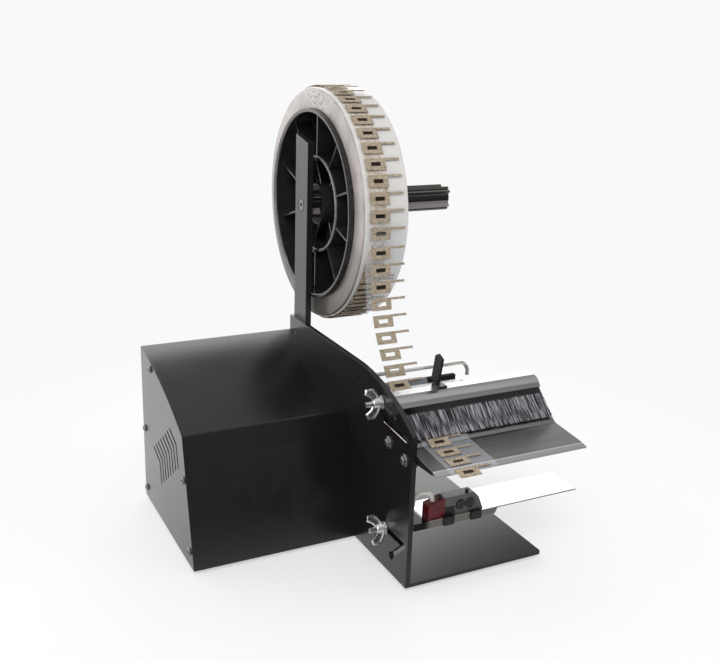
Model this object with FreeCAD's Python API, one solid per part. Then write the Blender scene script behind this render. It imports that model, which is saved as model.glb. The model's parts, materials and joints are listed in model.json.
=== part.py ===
import FreeCAD, Part

import math
import os

# Label dispenser with a drive housing, an upright centre plate, a reel arm, a peel plate,
# a hold-down brush and a label sensor on a sliding bar.
# Working frame in millimetres: x = 0 is the left face of the centre plate and +X is the
# delivery side, y = 0 is the front edge of the plate and +Y is the rear, z = 0 is the
# underside of the plate. The finished pieces are moved so that the origin is the middle
# of the footprint, on the surface that the feet stand on.

V = FreeCAD.Vector
X_AXIS = V(1, 0, 0)
Y_AXIS = V(0, 1, 0)
Z_AXIS = V(0, 0, 1)
FULL_TURN = 360.0

# Shared fits
CUT = 1.0
RUNNING_FIT = 0.05
SEAT_FIT = 0.02
AIR = 0.4
SHEET = 2.0

# Centre plate
PLATE_THICK = 6.0
PLATE_DEEP = 340.0
PLATE_TALL = 226.0
PLATE_FRONT_TALL = 184.0
PLATE_FALL_START = 140.0

# Base plate and feet
BASE_WIDE = 181.0
BASE_THICK = 4.0
BASE_CORNER_R = 3.0
FOOT_R = 8.0
FOOT_TALL = 4.0
FOOT_INSET = 14.0

# Housing
HOUSING_WIDE = 205.0
HOUSING_FRONT = 128.0
HOUSING_REAR = 338.0
HOUSING_REAR_TALL = 206.5
CREASE_Y = 163.5
CREASE_Z = 153.5
CROWN_R = 510.0
CREASE_BEND_R = 3.0

# Tie bars that hold the end plate
TIE_R = 5.0
TIE_SPOTS = [
    (292.8, 190.6),
    (329.0, 98.0),
    (329.0, 14.0),
    (159.4, 101.0),
    (142.0, 19.0),
]
M5_R = 2.5
M5_DEEP = 12.0
BUTTON_R = 4.75
BUTTON_TALL = 2.75
DOME_SHARE = 0.9
HEX_R = 1.8
HEX_DEEP = 1.6

# Vent slots in the end plate
VENT_COUNT = 8
VENT_WIDE = 4.0
VENT_TOP = (286.9, 88.4)
VENT_STEP = (-10.7, 7.8)
VENT_BEND = (-24.6, -9.0)
VENT_TAIL = (-6.0, -26.3)

# Bare name panel on the housing front
PANEL_LEFT = 162.0
PANEL_RIGHT = 51.0
PANEL_LOW = 34.0
PANEL_HIGH = 126.0
PANEL_THICK = 0.6

# Reel arm, spindle and shaft
ARM_THICK = 8.0
ARM_FRONT = 302.5
ARM_REAR = 340.0
ARM_FOOT_Z = 130.0
ARM_FRONT_TOP = 459.0
ARM_REAR_TOP = 467.0
ARM_SCREW_ZS = (145.0, 175.0, 205.0)
SOCKET_R = 5.0
SOCKET_TALL = 4.6
REEL_Y = 322.0
REEL_Z = 378.3
SPINDLE_R = 8.0
SPINDLE_LONG = 200.0
M8_R = 4.0
M8_DEEP = 18.0
M8_HEAD_R = 8.0
M8_HEAD_TALL = 4.4
M8_HEX_R = 2.9
BUSH_WALL = 2.0
BUSH_LONG = 14.0
SHAFT_GAP = 1.0
SHAFT_END_X = 221.0
SHAFT_TIP_R = 18.0
LOBE_COUNT = 4
SHAFT_LOBE_WIDE = 9.0
SHAFT_CORE_R = 13.5
TIP_SLOT_WIDE = 2.4
TIP_SLOT_DEEP = 3.0
STOP_WASHER_R = 9.2
STOP_WASHER_THICK = 2.0

# Reel hub and label roll
ROLL_INNER_R = 121.0
ROLL_DEEP = 29.0
ROLL_OUTER_R = ROLL_INNER_R + ROLL_DEEP
ROLL_LEFT_X = 23.0
WEB_WIDE = 60.0
HUB_LEFT_X = 16.0
HUB_RIGHT_X = 94.0
HUB_WALL = 3.0
HUB_WEB_X = 52.0
HUB_WEB_THICK = 3.0
HUB_RING_R = 62.0
HUB_RING_LEFT_X = 27.0
HUB_BOSS_R = 26.0
VANE_COUNT = 10
VANE_THICK = 2.4
INNER_VANE_COUNT = 6
INNER_VANE_DEEP = 12.0

# Die-cut labels
LABEL_THICK = 0.8
LABEL_WIDE = 26.0
LABEL_TALL = 14.5
LABEL_HOLE_WIDE = 12.7
LABEL_HOLE_TALL = 4.8
LABEL_TAIL_LONG = 19.0
LABEL_TAIL_TALL = 2.8
LABEL_MARGIN = 7.0
LABELS_ROUND = 46
LABEL_PITCH = 20.5
LABEL_LIFT = 0.15
LABEL_PAST_NOSE = 10.0

# Peel plate, seen from the left: rear edge, bend, lower bend, front strip, nose
PEEL_REAR = (92.0, 194.0)
PEEL_BEND = (50.0, 183.5)
PEEL_LOW = (16.0, 163.0)
PEEL_STRIP = (-34.0, 158.2)
PEEL_NOSE = (-42.0, 156.2)
PEEL_THICK = 2.0
PEEL_RIGHT_X = 203.0
CHEEK_THICK = 2.5
CHEEK_LOW = [
    (-34.0, 153.4),
    (-1.0, 152.0),
    (5.0, 144.0),
    (62.0, 144.0),
]
PEEL_SCREW_SPOTS = [
    (53.0, 157.0),
    (16.0, 151.0),
]
RING_R = 7.0
RING_THICK = 1.2
SMALL_SCREW_SPOT = (41.0, 190.0)
M3_R = 1.5
M3_HEAD_R = 2.8
M3_HEAD_TALL = 1.6

# Web of carrier film
FILM_THICK = 0.3
FILM_LIFT = 0.15
FILM_FREE_SHARES = [
    (0.95, 0.765),
    (0.893, 0.574),
    (0.755, 0.384),
    (0.536, 0.248),
    (0.308, 0.145),
    (0.114, 0.053),
]
FILM_TAIL_LONG = 70.0
FILM_STEPS = 24
WRAP_STEPS = 8

# Entry table, felt strip and guide rod
TABLE_FRONT = 93.0
TABLE_REAR = 127.0
TABLE_TOP = 193.9
TABLE_TALL = 10.0
TABLE_RIGHT_X = 131.0
TABLE_EAR_REAR = 152.0
TABLE_EAR_THICK = 3.0
TABLE_EAR_LOW = 184.0
TABLE_EAR_HIGH = 200.0
FELT_WIDE = 6.0
FELT_THICK = 3.5
FELT_SHORT = 3.0
ROD_R = 2.7
ROD_Y = 132.0
ROD_Z = 207.5
ROD_END_X = 152.0
ROD_BEND_R = 12.0
ROD_DROP = 5.0

# Brush holder, bristles, stud and wing nut
HOLDER_LEFT_X = 6.0
HOLDER_RIGHT_X = 203.0
HOLDER_PROFILE = [
    (50.0, 196.0),
    (53.5, 201.0),
    (58.0, 205.0),
    (64.0, 206.6),
    (78.0, 206.6),
    (78.0, 194.5),
    (76.0, 192.5),
    (60.0, 192.5),
    (54.3, 191.1),
]
BRISTLE_TIP_FRONT = (19.5, 168.6)
BRISTLE_TIP_REAR = (23.5, 171.0)
BRISTLE_END_GAP = 1.5
STUD_Y = 73.0
STUD_Z = 197.5
STUD_R = 3.0
STUD_IN_HOLDER = 30.0
STUD_OUT_LEFT = 20.0
WASHER_R = 8.0
WASHER_THICK = 1.5
WASHER_BORE_R = 3.2
NUT_HUB_R = 6.5
NUT_HUB_LONG = 9.0
WING_SPAN = 34.0
WING_THICK = 3.0
WING_REACH = 12.0
NUT_TIP_SHARE = 0.7
BRUSH_NUT_LEAN = -13.0
BAR_NUT_LEAN = -37.0

# Edge guide on the brush holder
GUIDE_X = 75.0
GUIDE_THICK = 3.0
GUIDE_BLADE = [
    (74.5, 209.0),
    (84.0, 209.0),
    (89.0, 212.0),
    (83.0, 241.5),
    (77.5, 244.5),
    (68.0, 240.5),
]
GUIDE_FOOT_WIDE = 12.0
GUIDE_FOOT_FRONT = 65.0
GUIDE_FOOT_TALL = 2.4
GUIDE_LIP_THICK = 2.0
GUIDE_LIP_DROP = 7.0
GUIDE_SCREW_R = 3.0
GUIDE_SCREW_LONG = 5.0

# Sensor bar, its stud and the slots in the plate
BAR_LEFT_X = 6.0
BAR_RIGHT_X = 229.0
BAR_FRONT = -2.0
BAR_REAR = 46.0
BAR_TOP = 80.0
BAR_THICK = 1.5
LIP_TALL = 8.5
LIP_RIGHT_X = 117.0
LIP_SLANT = 4.0
FLANGE_THICK = 2.5
FLANGE_LOW = 41.0
FLANGE_FRONT = 22.0
FLANGE_REAR = 63.0
BAR_STUD_Y = 53.0
BAR_STUD_Z = 50.0
BAR_TRAVEL = 45.0
SLOT_WIDE = 6.6
SLOT_FOOT = (35.5, 23.0)
SLOT_FOOT_R = 5.0
SPARE_SLOT = [
    (64.5, 180.9),
    (12.8, 176.6),
]
SPARE_SLOT_WIDE = 5.5

# Label sensor on the bar
HEAD_LEFT_X = 47.0
HEAD_RIGHT_X = 98.0
HEAD_FRONT = 1.5
HEAD_DEEP = 14.0
HEAD_TALL = 22.5
HEAD_SLANT = 12.5
HEAD_SHOULDER = (6.5, 16.0)
CAP_LEFT_X = 26.0
CAP_LOW_TALL = 16.0
BLOCK_RIGHT_X = 60.0
BLOCK_TALL = 11.0
DIAL_XS = (67.3, 79.9)
DIAL_UP = 10.8
DIAL_R = 5.8
DIAL_DEEP = 2.4
DIAL_PROUD = 1.0
DIAL_STEM_R = 2.0
DIAL_SLOT_WIDE = 1.2
DIAL_SLOT_LONG = 9.4
DIAL_STEM_DEEP = 4.0
TRIM_XS = (42.0, 77.5)
TRIM_Y = 5.5
TRIM_R = 2.0
TRIM_TALL = 4.5
CLIP_XS = (50.5, 86.5)
CLIP_WIDE = 13.5
CLIP_TALL = 9.0
CLIP_THICK = 2.0
CLIP_RISE = 1.0

# Lead from the housing to the sensor
LEAD_R = 3.0
LEAD_EXIT = (160.0, 80.0)
LEAD_REAR_POINTS = [
    (-10.0, 160.0, 80.0),
    (24.0, 160.0, 80.0),
    (22.0, 112.0, 82.0),
    (14.0, 70.0, 86.0),
    (14.0, 37.0, 86.0),
]
LEAD_FRONT_POINTS = [
    (14.0, 37.0, 86.0),
    (14.0, 17.0, 86.0),
    (14.0, 16.0, 107.0),
    (35.0, 9.0, 110.0),
    (35.0, 9.0, 93.0),
]
RUN_SHARE = 0.45
GROMMET_R = 6.0
GROMMET_FLANGE_R = 8.5
GROMMET_FLANGE = 2.0

# Drive and pressure rollers under the peel plate
DRIVE_Y = 190.0
DRIVE_Z = 118.0
DRIVE_SHAFT_R = 6.0
SLEEVE_R = 17.0
SLEEVE_LEFT_X = 16.0
SLEEVE_RIGHT_X = 100.0
BEARING_R = 14.0
BEARING_FLANGE_R = 16.0
BEARING_FLANGE = 1.5
PINCH_R = 11.0
PINCH_SHAFT_R = 4.0
PINCH_ANGLE = 45.0
PIVOT_BACK = 42.0
PIVOT_R = 5.0
PIVOT_TUBE_R = 8.0
LINK_THICK = 4.0
LINK_HALF = 8.0
HANDLE_LONG = 34.0
HANDLE_WIDE = 14.0

# Belt drive and motor in the housing
POST_R = 5.0
POST_LONG = 58.0
BRACKET_THICK = 4.0
BRACKET_MARGIN = 8.0
POST_RISE = 24.0
MOTOR_Y = 262.0
MOTOR_Z = 118.0
GEARBOX_R = 30.0
GEARBOX_LONG = 34.0
MOTOR_CAN_R = 24.0
MOTOR_CAN_LONG = 62.0
MOTOR_SHAFT_R = 4.0
MOTOR_SHAFT_LONG = 40.0
DRIVE_PULLEY_R = 17.0
MOTOR_PULLEY_R = 10.0
PULLEY_LEFT_X = -42.0
BELT_WIDE = 10.0
BELT_THICK = 2.0
FLANGE_RISE = 2.5
PULLEY_FLANGE = 1.5

# Control board and rear fittings
BOARD_LEFT_X = -180.0
BOARD_RIGHT_X = -70.0
BOARD_FRONT = 165.0
BOARD_REAR = 300.0
BOARD_THICK = 1.6
BOARD_POST_R = 3.0
BOARD_POST_TALL = 8.0
BOARD_MARGIN = 6.0
TRANSFORMER = (34.0, 42.0, 30.0)
CAPACITOR_R = 8.0
CAPACITOR_TALL = 25.0
CAPACITOR_INSET = 18.0
CAPACITOR_PITCH = 24.0
RELAY = (16.0, 28.0, 15.0)
SWITCH_X = -150.0
SWITCH_Z = 50.0
SWITCH_WIDE = 21.0
SWITCH_TALL = 27.0
SWITCH_DEEP = 20.0
SWITCH_RIM = 2.0
ROCKER_GAP = 0.5
ROCKER_RISE = 3.0
ROCKER_PIN_R = 1.5
ROCKER_WAIST_SHARE = 0.45
INLET_X = -105.0
INLET_WIDE = 27.0
INLET_TALL = 20.0
INLET_DEEP = 18.0
INLET_RIM = 3.0
INLET_WALL = 2.0
INLET_FLOOR = 3.0
PIN_WIDE = 4.0
PIN_THICK = 2.0
PIN_LONG = 12.0
PIN_PITCH = 7.0


def box(x0, x1, y0, y1, z0, z1):
    return Part.makeBox(x1 - x0, y1 - y0, z1 - z0, V(x0, y0, z0))


def bar_x(y, z, radius, x0, x1):
    return Part.makeCylinder(radius, x1 - x0, V(x0, y, z), X_AXIS)


def bar_y(x, z, radius, y0, y1):
    return Part.makeCylinder(radius, y1 - y0, V(x, y0, z), Y_AXIS)


def bar_z(x, y, radius, z0, z1):
    return Part.makeCylinder(radius, z1 - z0, V(x, y, z0), Z_AXIS)


def tube_x(y, z, inner, outer, x0, x1):
    return bar_x(y, z, outer, x0, x1).cut(bar_x(y, z, inner, x0 - CUT, x1 + CUT))


def cone_x(y, z, r0, r1, x0, x1):
    return Part.makeCone(r0, r1, x1 - x0, V(x0, y, z), X_AXIS)


def prism_x(outline, x0, x1):
    """Extrude a closed outline of (y, z) points along X."""
    ring = [V(x0, y, z) for y, z in outline]
    face = Part.Face(Part.makePolygon(ring + ring[:1]))
    return face.extrude(V(x1 - x0, 0, 0))


def prism_y(outline, y0, y1):
    """Extrude a closed outline of (x, z) points along Y."""
    ring = [V(x, y0, z) for x, z in outline]
    face = Part.Face(Part.makePolygon(ring + ring[:1]))
    return face.extrude(V(0, y1 - y0, 0))


def unit(a, b):
    """Direction from a to b, and the direction a quarter turn to its left."""
    length = math.hypot(b[0] - a[0], b[1] - a[1])
    along = ((b[0] - a[0]) / length, (b[1] - a[1]) / length)
    return along, (-along[1], along[0])


def shifted(line, distance):
    """Points of an open line moved sideways, with mitred corners."""
    moved = []
    for i, point in enumerate(line):
        before = unit(line[max(i - 1, 0)], line[max(i, 1)])[1]
        last = len(line) - 1
        after = unit(line[min(i, last - 1)], line[min(i + 1, last)])[1]
        share = 1 + before[0] * after[0] + before[1] * after[1]
        moved.append((
            point[0] + distance * (before[0] + after[0]) / share,
            point[1] + distance * (before[1] + after[1]) / share,
        ))
    return moved


def strip(line, thickness, x0, x1):
    """A bent sheet whose one side follows an open line of (y, z) points."""
    return prism_x(list(line) + shifted(line, thickness)[::-1], x0, x1)


def slot(a, b, width, x0, x1):
    """A round-ended bar across the plate, for cutting a slot from a to b."""
    side = unit(a, b)[1]
    half = width / 2
    corners = [
        (a[0] + side[0] * half, a[1] + side[1] * half),
        (b[0] + side[0] * half, b[1] + side[1] * half),
        (b[0] - side[0] * half, b[1] - side[1] * half),
        (a[0] - side[0] * half, a[1] - side[1] * half),
    ]
    body = prism_x(corners, x0, x1)
    return body.fuse([bar_x(*a, half, x0, x1), bar_x(*b, half, x0, x1)]).removeSplitter()


def button_screw(y, z, face_x, out, shank_r, deep):
    """Button head socket screw on a face that looks along out (+1 or -1)."""
    head_end = face_x + out * BUTTON_TALL
    low, high = sorted((face_x, head_end))
    head = bar_x(y, z, BUTTON_R, low, high)
    rim = [e for e in head.Edges if abs(e.BoundBox.XMin - head_end) + e.BoundBox.XLength < RUNNING_FIT]
    head = head.makeFillet(BUTTON_TALL * DOME_SHARE, rim)
    low, high = sorted((face_x, face_x - out * deep))
    screw = head.fuse(bar_x(y, z, shank_r, low, high))
    low, high = sorted((head_end + out * CUT, head_end - out * HEX_DEEP))
    return screw.cut(bar_x(y, z, HEX_R, low, high)).removeSplitter()


def socket_screw(y, z, face_x, shank_r, deep):
    """Cap screw with its head on the +X side of a face."""
    head = bar_x(y, z, SOCKET_R, face_x, face_x + SOCKET_TALL)
    shank = bar_x(y, z, shank_r, face_x - deep, face_x)
    hexagon = bar_x(y, z, HEX_R, face_x + SOCKET_TALL - HEX_DEEP, face_x + SOCKET_TALL + CUT)
    return head.fuse(shank).cut(hexagon).removeSplitter()


def turned(shape, y, z, angle):
    """A copy turned about an X axis through (y, z)."""
    copy = shape.copy()
    copy.rotate(V(0, y, z), X_AXIS, angle)
    return copy


def reel_turned(shape, angle):
    return turned(shape, REEL_Y, REEL_Z, angle)


def group(shapes):
    return Part.makeCompound(list(shapes))


def crown_centre():
    """Centre of the arc that the housing top follows, from its two ends and its radius."""
    low = (CREASE_Y, CREASE_Z)
    high = (HOUSING_REAR, HOUSING_REAR_TALL)
    normal = unit(low, high)[1]
    half = math.hypot(high[0] - low[0], high[1] - low[1]) / 2
    drop = math.sqrt(CROWN_R ** 2 - half ** 2)
    return (
        (low[0] + high[0]) / 2 - normal[0] * drop,
        (low[1] + high[1]) / 2 - normal[1] * drop,
    )


def front_line(inset):
    """A point of the leaning front panel, moved inwards, and its upward direction."""
    along, side = unit((HOUSING_FRONT, 0), (CREASE_Y, CREASE_Z))
    return (HOUSING_FRONT - side[0] * inset, -side[1] * inset), along


def front_at(z, inset=0):
    start, along = front_line(inset)
    return (start[0] + along[0] * (z - start[1]) / along[1], z)


def crown_at(y, inset=0):
    centre = crown_centre()
    return centre[1] + math.sqrt((CROWN_R - inset) ** 2 - (y - centre[0]) ** 2)


def crease(inset):
    """Where the front panel meets the arc, both moved inwards."""
    start, along = front_line(inset)
    centre = crown_centre()
    away = (start[0] - centre[0], start[1] - centre[1])
    b = along[0] * away[0] + along[1] * away[1]
    c = away[0] ** 2 + away[1] ** 2 - (CROWN_R - inset) ** 2
    root = math.sqrt(b * b - c)
    reach = min((-b - root, -b + root), key=lambda s: abs(s - math.hypot(CREASE_Y, CREASE_Z)))
    return (start[0] + along[0] * reach, start[1] + along[1] * reach)


def housing_body(inset, rear, floor, x0, x1):
    """Solid with the housing's side outline, moved inwards at the front and the top."""
    foot = front_at(floor, inset)
    bend = crease(inset)
    middle = (bend[0] + rear) / 2
    corners = [V(x0, *foot), V(x0, *bend), V(x0, rear, crown_at(rear, inset)), V(x0, rear, floor)]
    edges = [
        Part.LineSegment(corners[0], corners[1]).toShape(),
        Part.Arc(corners[1], V(x0, middle, crown_at(middle, inset)), corners[2]).toShape(),
        Part.LineSegment(corners[2], corners[3]).toShape(),
        Part.LineSegment(corners[3], corners[0]).toShape(),
    ]
    body = Part.Face(Part.Wire(edges)).extrude(V(x1 - x0, 0, 0))
    bends = [
        e for e in body.Edges
        if math.hypot(e.BoundBox.YMin - bend[0], e.BoundBox.ZMin - bend[1]) < RUNNING_FIT
        and e.BoundBox.XLength > (x1 - x0) / 2 and e.BoundBox.YLength < RUNNING_FIT
    ]
    return body.makeFillet(CREASE_BEND_R - inset / 2, bends)


def plate_edge_radius():
    fall = PLATE_TALL - PLATE_FRONT_TALL
    return (PLATE_FALL_START ** 2 + fall ** 2) / (2 * fall)


def center_plate():
    radius = plate_edge_radius()
    turn = math.asin(PLATE_FALL_START / radius) / 2
    middle = V(
        0,
        PLATE_FALL_START - radius * math.sin(turn),
        PLATE_TALL - radius * (1 - math.cos(turn)),
    )
    corners = [
        V(0, 0, 0),
        V(0, 0, PLATE_FRONT_TALL),
        V(0, PLATE_FALL_START, PLATE_TALL),
        V(0, PLATE_DEEP, PLATE_TALL),
        V(0, PLATE_DEEP, 0),
    ]
    edges = [
        Part.LineSegment(corners[0], corners[1]).toShape(),
        Part.Arc(corners[1], middle, corners[2]).toShape(),
        Part.LineSegment(corners[2], corners[3]).toShape(),
        Part.LineSegment(corners[3], corners[4]).toShape(),
        Part.LineSegment(corners[4], corners[0]).toShape(),
    ]
    plate = Part.Face(Part.Wire(edges)).extrude(V(PLATE_THICK, 0, 0))
    x0 = -CUT
    x1 = PLATE_THICK + CUT
    stud_end = (BAR_STUD_Y - BAR_TRAVEL, BAR_STUD_Z)
    cuts = [
        bar_x(STUD_Y, STUD_Z, STUD_R + RUNNING_FIT, x0, x1),
        bar_x(*SMALL_SCREW_SPOT, M3_R + SEAT_FIT, x0, x1),
        slot(*SPARE_SLOT, SPARE_SLOT_WIDE, x0, x1),
        slot((BAR_STUD_Y, BAR_STUD_Z), stud_end, SLOT_WIDE, x0, x1),
        slot(stud_end, SLOT_FOOT, SLOT_WIDE, x0, x1),
        bar_x(*SLOT_FOOT, SLOT_FOOT_R, x0, x1),
        bar_x(DRIVE_Y, DRIVE_Z, BEARING_R + SEAT_FIT, x0, x1),
        bar_x(*pivot_spot(), PIVOT_R + SEAT_FIT, x0, x1),
        bar_x(ROD_Y, ROD_Z, ROD_R + SEAT_FIT, x0, x1),
        bar_x(*LEAD_EXIT, GROMMET_R + SEAT_FIT, x0, x1),
    ]
    cuts += [bar_x(*spot, M5_R + SEAT_FIT, x0, x1) for spot in PEEL_SCREW_SPOTS + TIE_SPOTS]
    cuts += [bar_x(*spot, M5_R + SEAT_FIT, x0, x1) for spot in bracket_posts()]
    cuts += [bar_x(arm_middle(), z, M5_R + SEAT_FIT, x0, x1) for z in ARM_SCREW_ZS]
    cuts += [bar_x(*spot, M3_R + SEAT_FIT, x0, x1) for spot in table_screws()]
    cuts += [bar_x(y, BASE_THICK / 2, M3_R / 2, x0, x1) for y in base_screw_ys()]
    for cut in cuts:
        plate = plate.cut(cut)
    return plate.removeSplitter()


def base_screw_ys():
    return [FOOT_INSET / 2, PLATE_DEEP / 3, PLATE_DEEP - FOOT_INSET]


def base_plate():
    x0 = PLATE_THICK
    plate = box(x0, x0 + BASE_WIDE, 0, PLATE_DEEP, 0, BASE_THICK)
    outer = [
        e for e in plate.Edges
        if e.BoundBox.ZLength > BASE_THICK / 2 and e.BoundBox.XMin > x0 + BASE_WIDE / 2
    ]
    plate = plate.makeFillet(BASE_CORNER_R, outer)
    for y in base_screw_ys():
        plate = plate.cut(bar_x(y, BASE_THICK / 2, M3_R / 2, x0 - CUT, x0 + M5_DEEP))
    return plate


def base_screws():
    """Countersunk screws through the centre plate into the edge of the base."""
    screws = []
    for y in base_screw_ys():
        screws.append(bar_x(y, BASE_THICK / 2, M3_R / 2, 0, PLATE_THICK + M5_DEEP))
    return screws


def rubber_feet():
    left = FOOT_INSET - HOUSING_WIDE
    right = PLATE_THICK + BASE_WIDE - FOOT_INSET
    middle = PLATE_THICK + FOOT_INSET
    rear = HOUSING_REAR - FOOT_INSET
    front = HOUSING_FRONT + FOOT_INSET
    spots = [(left, front), (left, rear)]
    spots += [(middle, FOOT_INSET), (middle, rear)]
    spots += [(right, FOOT_INSET), (right, rear)]
    return group(bar_z(x, y, FOOT_R, -FOOT_TALL, 0) for x, y in spots)


def housing_cover():
    x0 = SHEET - HOUSING_WIDE
    outer = housing_body(0, HOUSING_REAR, 0, x0, 0)
    inner = housing_body(SHEET, HOUSING_REAR + CUT, -CUT, x0 - CUT, CUT)
    return outer.cut(inner)


def vent_slots(x0, x1):
    slots = []
    for i in range(VENT_COUNT):
        top = (VENT_TOP[0] + i * VENT_STEP[0], VENT_TOP[1] + i * VENT_STEP[1])
        bend = (top[0] + VENT_BEND[0], top[1] + VENT_BEND[1])
        tail = (bend[0] + VENT_TAIL[0], bend[1] + VENT_TAIL[1])
        slots.append(slot(top, bend, VENT_WIDE, x0, x1))
        slots.append(slot(bend, tail, VENT_WIDE, x0, x1))
    return slots


def housing_end_plate():
    x0 = -HOUSING_WIDE
    plate = housing_body(0, HOUSING_REAR, 0, x0, x0 + SHEET)
    holes = [bar_x(*spot, M5_R + SEAT_FIT, x0 - CUT, x0 + SHEET + CUT) for spot in TIE_SPOTS]
    return plate.cut(holes + vent_slots(x0 - CUT, x0 + SHEET + CUT))


def housing_floor():
    x0 = SHEET - HOUSING_WIDE
    rear = HOUSING_REAR - SHEET
    return housing_body(SHEET, rear, 0, x0, 0).common(
        box(x0, 0, 0, rear, 0, SHEET)
    )


def housing_rear_panel():
    x0 = SHEET - HOUSING_WIDE
    y0 = HOUSING_REAR - SHEET
    panel = housing_body(SHEET, HOUSING_REAR, 0, x0, 0).common(
        box(x0, 0, y0, HOUSING_REAR, 0, PLATE_TALL)
    )
    y0 -= CUT
    y1 = HOUSING_REAR + CUT
    holes = [
        centred_box(SWITCH_X, SWITCH_Z, SWITCH_WIDE, SWITCH_TALL, y0, y1),
        centred_box(INLET_X, SWITCH_Z, INLET_WIDE, INLET_TALL, y0, y1),
    ]
    return panel.cut(holes)


def centred_box(x, z, wide, tall, y0, y1):
    return box(x - wide / 2, x + wide / 2, y0, y1, z - tall / 2, z + tall / 2)


def tie_bars():
    """Bars from the plate to the end plate, and the short posts of the motor bracket."""
    x0 = SHEET - HOUSING_WIDE
    bars = []
    for spot in TIE_SPOTS:
        bar = bar_x(*spot, TIE_R, x0, 0)
        bar = bar.cut(bar_x(*spot, M5_R + SEAT_FIT, x0 - CUT, x0 + M5_DEEP + CUT))
        bars.append(bar.cut(bar_x(*spot, M5_R + SEAT_FIT, -M5_DEEP - CUT, CUT)))
    return group(bars + bracket_post_bars())


def tie_bar_screws():
    left = [button_screw(*spot, -HOUSING_WIDE, -1, M5_R, M5_DEEP) for spot in TIE_SPOTS]
    right = [button_screw(*spot, PLATE_THICK, 1, M5_R, M5_DEEP + PLATE_THICK) for spot in TIE_SPOTS]
    return left + right


def button_screws():
    return group(tie_bar_screws() + bracket_screws() + peel_plate_screws())


def name_panel():
    low = front_at(PANEL_LOW)
    high = front_at(PANEL_HIGH)
    return prism_x([low, high] + shifted([low, high], PANEL_THICK)[::-1], -PANEL_LEFT, -PANEL_RIGHT)


def arm_middle():
    return (ARM_FRONT + ARM_REAR) / 2


def reel_arm():
    x0 = PLATE_THICK
    x1 = x0 + ARM_THICK
    outline = [
        (ARM_FRONT, ARM_FOOT_Z),
        (ARM_REAR, ARM_FOOT_Z),
        (ARM_REAR, ARM_REAR_TOP),
        (ARM_FRONT, ARM_FRONT_TOP),
    ]
    arm = prism_x(outline, x0, x1)
    arm = arm.cut(cone_x(REEL_Y, REEL_Z, M8_HEAD_R, M8_R + SEAT_FIT, x0, x0 + M8_HEAD_TALL))
    arm = arm.cut(bar_x(REEL_Y, REEL_Z, M8_R + SEAT_FIT, x0 - CUT, x1 + CUT))
    for z in ARM_SCREW_ZS:
        arm = arm.cut(bar_x(arm_middle(), z, M5_R + SEAT_FIT, x0 - CUT, x1 + CUT))
    return arm


def arm_screws():
    face = PLATE_THICK + ARM_THICK
    return group(socket_screw(arm_middle(), z, face, M5_R, face) for z in ARM_SCREW_ZS)


def spindle_screws():
    x0 = PLATE_THICK
    face = x0 + ARM_THICK
    screw = cone_x(REEL_Y, REEL_Z, M8_HEAD_R - SEAT_FIT, M8_R, x0, x0 + M8_HEAD_TALL)
    screw = screw.fuse(bar_x(REEL_Y, REEL_Z, M8_R, x0 + M8_HEAD_TALL / 2, face + M8_DEEP))
    screw = screw.cut(bar_x(REEL_Y, REEL_Z, M8_HEX_R, x0 - CUT, x0 + M8_HEAD_TALL / 2)).removeSplitter()
    return group([screw] + spindle_stop())


def reel_spindle():
    x0 = PLATE_THICK + ARM_THICK
    x1 = x0 + SPINDLE_LONG
    rod = bar_x(REEL_Y, REEL_Z, SPINDLE_R, x0, x1)
    rod = rod.cut(bar_x(REEL_Y, REEL_Z, M8_R + SEAT_FIT, x0 - CUT, x0 + M8_DEEP + CUT))
    return rod.cut(bar_x(REEL_Y, REEL_Z, M5_R + SEAT_FIT, x1 - M5_DEEP - CUT, x1 + CUT))


def spindle_stop():
    """Washer and screw that keep the shaft on its spindle, inside the shaft's bore."""
    x0 = PLATE_THICK + ARM_THICK + SPINDLE_LONG
    x1 = x0 + STOP_WASHER_THICK
    washer = tube_x(REEL_Y, REEL_Z, M5_R + SEAT_FIT, STOP_WASHER_R, x0, x1)
    screw = bar_x(REEL_Y, REEL_Z, M5_R, x0 - M5_DEEP, x1)
    screw = screw.fuse(bar_x(REEL_Y, REEL_Z, BUTTON_R, x1, x1 + BUTTON_TALL))
    return [washer, screw.removeSplitter()]


def shaft_left():
    return PLATE_THICK + ARM_THICK + SHAFT_GAP


def shaft_outline_solid(grow, x0, x1):
    """Cross of four slotted lobes round a core, with every face moved outwards by grow."""
    core = bar_x(REEL_Y, REEL_Z, SHAFT_CORE_R + grow, x0, x1)
    half = SHAFT_LOBE_WIDE / 2 + grow
    tip = SHAFT_TIP_R + grow
    for i in range(LOBE_COUNT // 2):
        lobes = box(x0, x1, REEL_Y - tip, REEL_Y + tip, REEL_Z - half, REEL_Z + half)
        core = core.fuse(reel_turned(lobes, FULL_TURN * (1 / 2 + i) / LOBE_COUNT))
    return core.removeSplitter()


def reel_shaft():
    x0 = shaft_left()
    shaft = shaft_outline_solid(0, x0, SHAFT_END_X)
    for i in range(LOBE_COUNT):
        tip_slot = box(
            x0 - CUT, SHAFT_END_X + CUT,
            REEL_Y - SHAFT_TIP_R - CUT, REEL_Y - SHAFT_TIP_R + TIP_SLOT_DEEP,
            REEL_Z - TIP_SLOT_WIDE / 2, REEL_Z + TIP_SLOT_WIDE / 2,
        )
        shaft = shaft.cut(reel_turned(tip_slot, FULL_TURN * (1 / 2 + i) / LOBE_COUNT))
    bore = SPINDLE_R + BUSH_WALL + SEAT_FIT
    return shaft.cut(bar_x(REEL_Y, REEL_Z, bore, x0 - CUT, SHAFT_END_X + CUT))


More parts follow.
